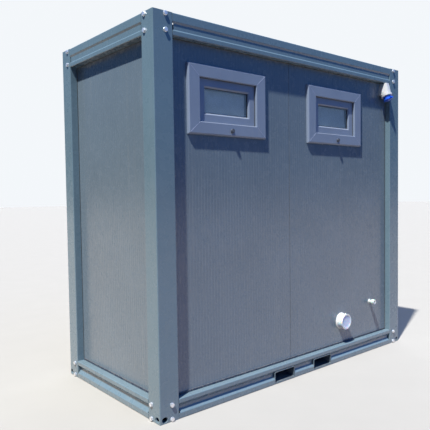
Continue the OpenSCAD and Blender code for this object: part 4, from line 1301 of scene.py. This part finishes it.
CAMERA_PLACE = (-3.075, -3.2275, 1.4125)
CAMERA_TURN = (40.12, -2.51, -0.8)  # heading, pitch and roll in degrees
CAMERA_LENS = 43.72
SUN_WAY = Vector((0.457, 0.183, -0.87))  # the way that the light travels
SUN_LEVEL = 2.3
SUN_COLOUR = (1, 0.955, 0.86)
OPEN_SIDE = Vector((0.64, -0.76, 0))  # the open sky in front of the service wall
SKY_SHADED = (0.012, 0.022, 0.04, 1)  # sky on the side of the end wall
SKY_OPEN = (0.07, 0.24, 0.74, 1)
MIRRORED_HORIZON = (0.03, 0.05, 0.07, 1)  # what shiny faces show of the world
MIRRORED_ZENITH = (0.12, 0.36, 0.9, 1)
FAR_SIDE = Vector((0.64, 0.76, 0))  # from the camera to the backdrop
BACKDROP_GLOW = (2.15, 2.2, 2.25, 1)
BACKDROP = (0.9, 0.93, 0.96, 1)
FLOOR_SEEN = (0.385, 0.383, 0.378)
FLOOR_MIRRORED = (0.66, 0.58, 0.52, 1)
FLOOR_NEAR = (0.185, 0.16, 0.14, 1)  # light that the floor gives back
FLOOR_FAR = (0.03, 0.03, 0.03, 1)


def make_floor():
    """A pale floor that keeps the shadow and gives light back near the object only."""
    bm = bmesh.new()
    bmesh.ops.create_circle(bm, cap_ends=True, segments=96, radius=60)
    floor = new_object("studio_floor", new_mesh("studio_floor", bm))
    material = bpy.data.materials.new("studio_floor")
    material.use_nodes = True
    tree = material.node_tree
    place = object_place(tree)
    grain = span(tree, noise(tree, place, 3, 8), 0.3, 0.7, 0.97, 1)
    levels = {channel: times(tree, grain, level) for channel, level in enumerate(FLOOR_SEEN)}
    pale = add(tree, "CombineColor", levels)[0]
    away = add(tree, "VectorMath", {0: place}, operation="LENGTH")["Value"]
    colour = tint(tree, span(tree, away, 1.8, 4), FLOOR_NEAR, FLOOR_FAR)
    path = add(tree, "LightPath")
    colour = tint(tree, path["Is Glossy Ray"], colour, FLOOR_MIRRORED)
    seen = calc(tree, "MAXIMUM", path["Is Camera Ray"], path["Is Transmission Ray"])
    colour = tint(tree, seen, colour, pale)
    for socket, value in (("Base Color", colour), ("Roughness", 0.9)):
        fill(tree, tree.nodes["Principled BSDF"].inputs[socket], value)
    floor.data.materials.append(material)


def make_sun():
    lamp = bpy.data.lights.new("key_sun", "SUN")
    lamp.energy = math.pi * SUN_LEVEL
    lamp.angle = math.radians(1.6)
    lamp.color = SUN_COLOUR
    sun = new_object("key_sun", lamp)
    sun.rotation_euler = SUN_WAY.to_track_quat("-Z", "Y").to_euler()


def make_sky():
    """A dim, cool sky, and a pale backdrop behind the object."""
    world = bpy.data.worlds.new("studio_sky")
    world.use_nodes = True
    tree = world.node_tree
    way = add(tree, "TexCoord")["Generated"]
    up = apart(tree, way)["Z"]
    far = span(tree, vectors(tree, "DOT_PRODUCT", way, FAR_SIDE, "Value"), 0.55, 0.95)
    aside = vectors(tree, "DOT_PRODUCT", way, OPEN_SIDE, "Value")
    sky = tint(tree, span(tree, aside, -0.3, 0.7), SKY_SHADED, SKY_OPEN)
    mirrored = tint(tree, span(tree, up, 0.02, 0.4), MIRRORED_HORIZON, MIRRORED_ZENITH)
    path = add(tree, "LightPath")
    colour = tint(tree, path["Is Glossy Ray"], sky, mirrored)
    colour = tint(tree, far, colour, BACKDROP_GLOW)
    colour = tint(tree, path["Is Camera Ray"], colour, BACKDROP)
    tree.links.new(colour, tree.nodes["Background"].inputs["Color"])
    bpy.context.scene.world = world


def make_camera():
    heading, pitch, roll = map(math.radians, CAMERA_TURN)
    lens = bpy.data.cameras.new("photo_camera")
    lens.lens = CAMERA_LENS
    lens.sensor_width = 36
    lens.clip_end = 200
    camera = new_object("photo_camera", lens)
    camera.matrix_world = Matrix.Translation(CAMERA_PLACE)
    for angle, axis in ((-heading, "Z"), (math.pi / 2 + pitch, "X"), (roll, "Z")):
        camera.matrix_world @= Matrix.Rotation(angle, 4, axis)
    bpy.context.scene.camera = camera


make_floor()
make_sun()
make_sky()
make_camera()
bpy.context.scene.view_settings.view_transform = "Standard"
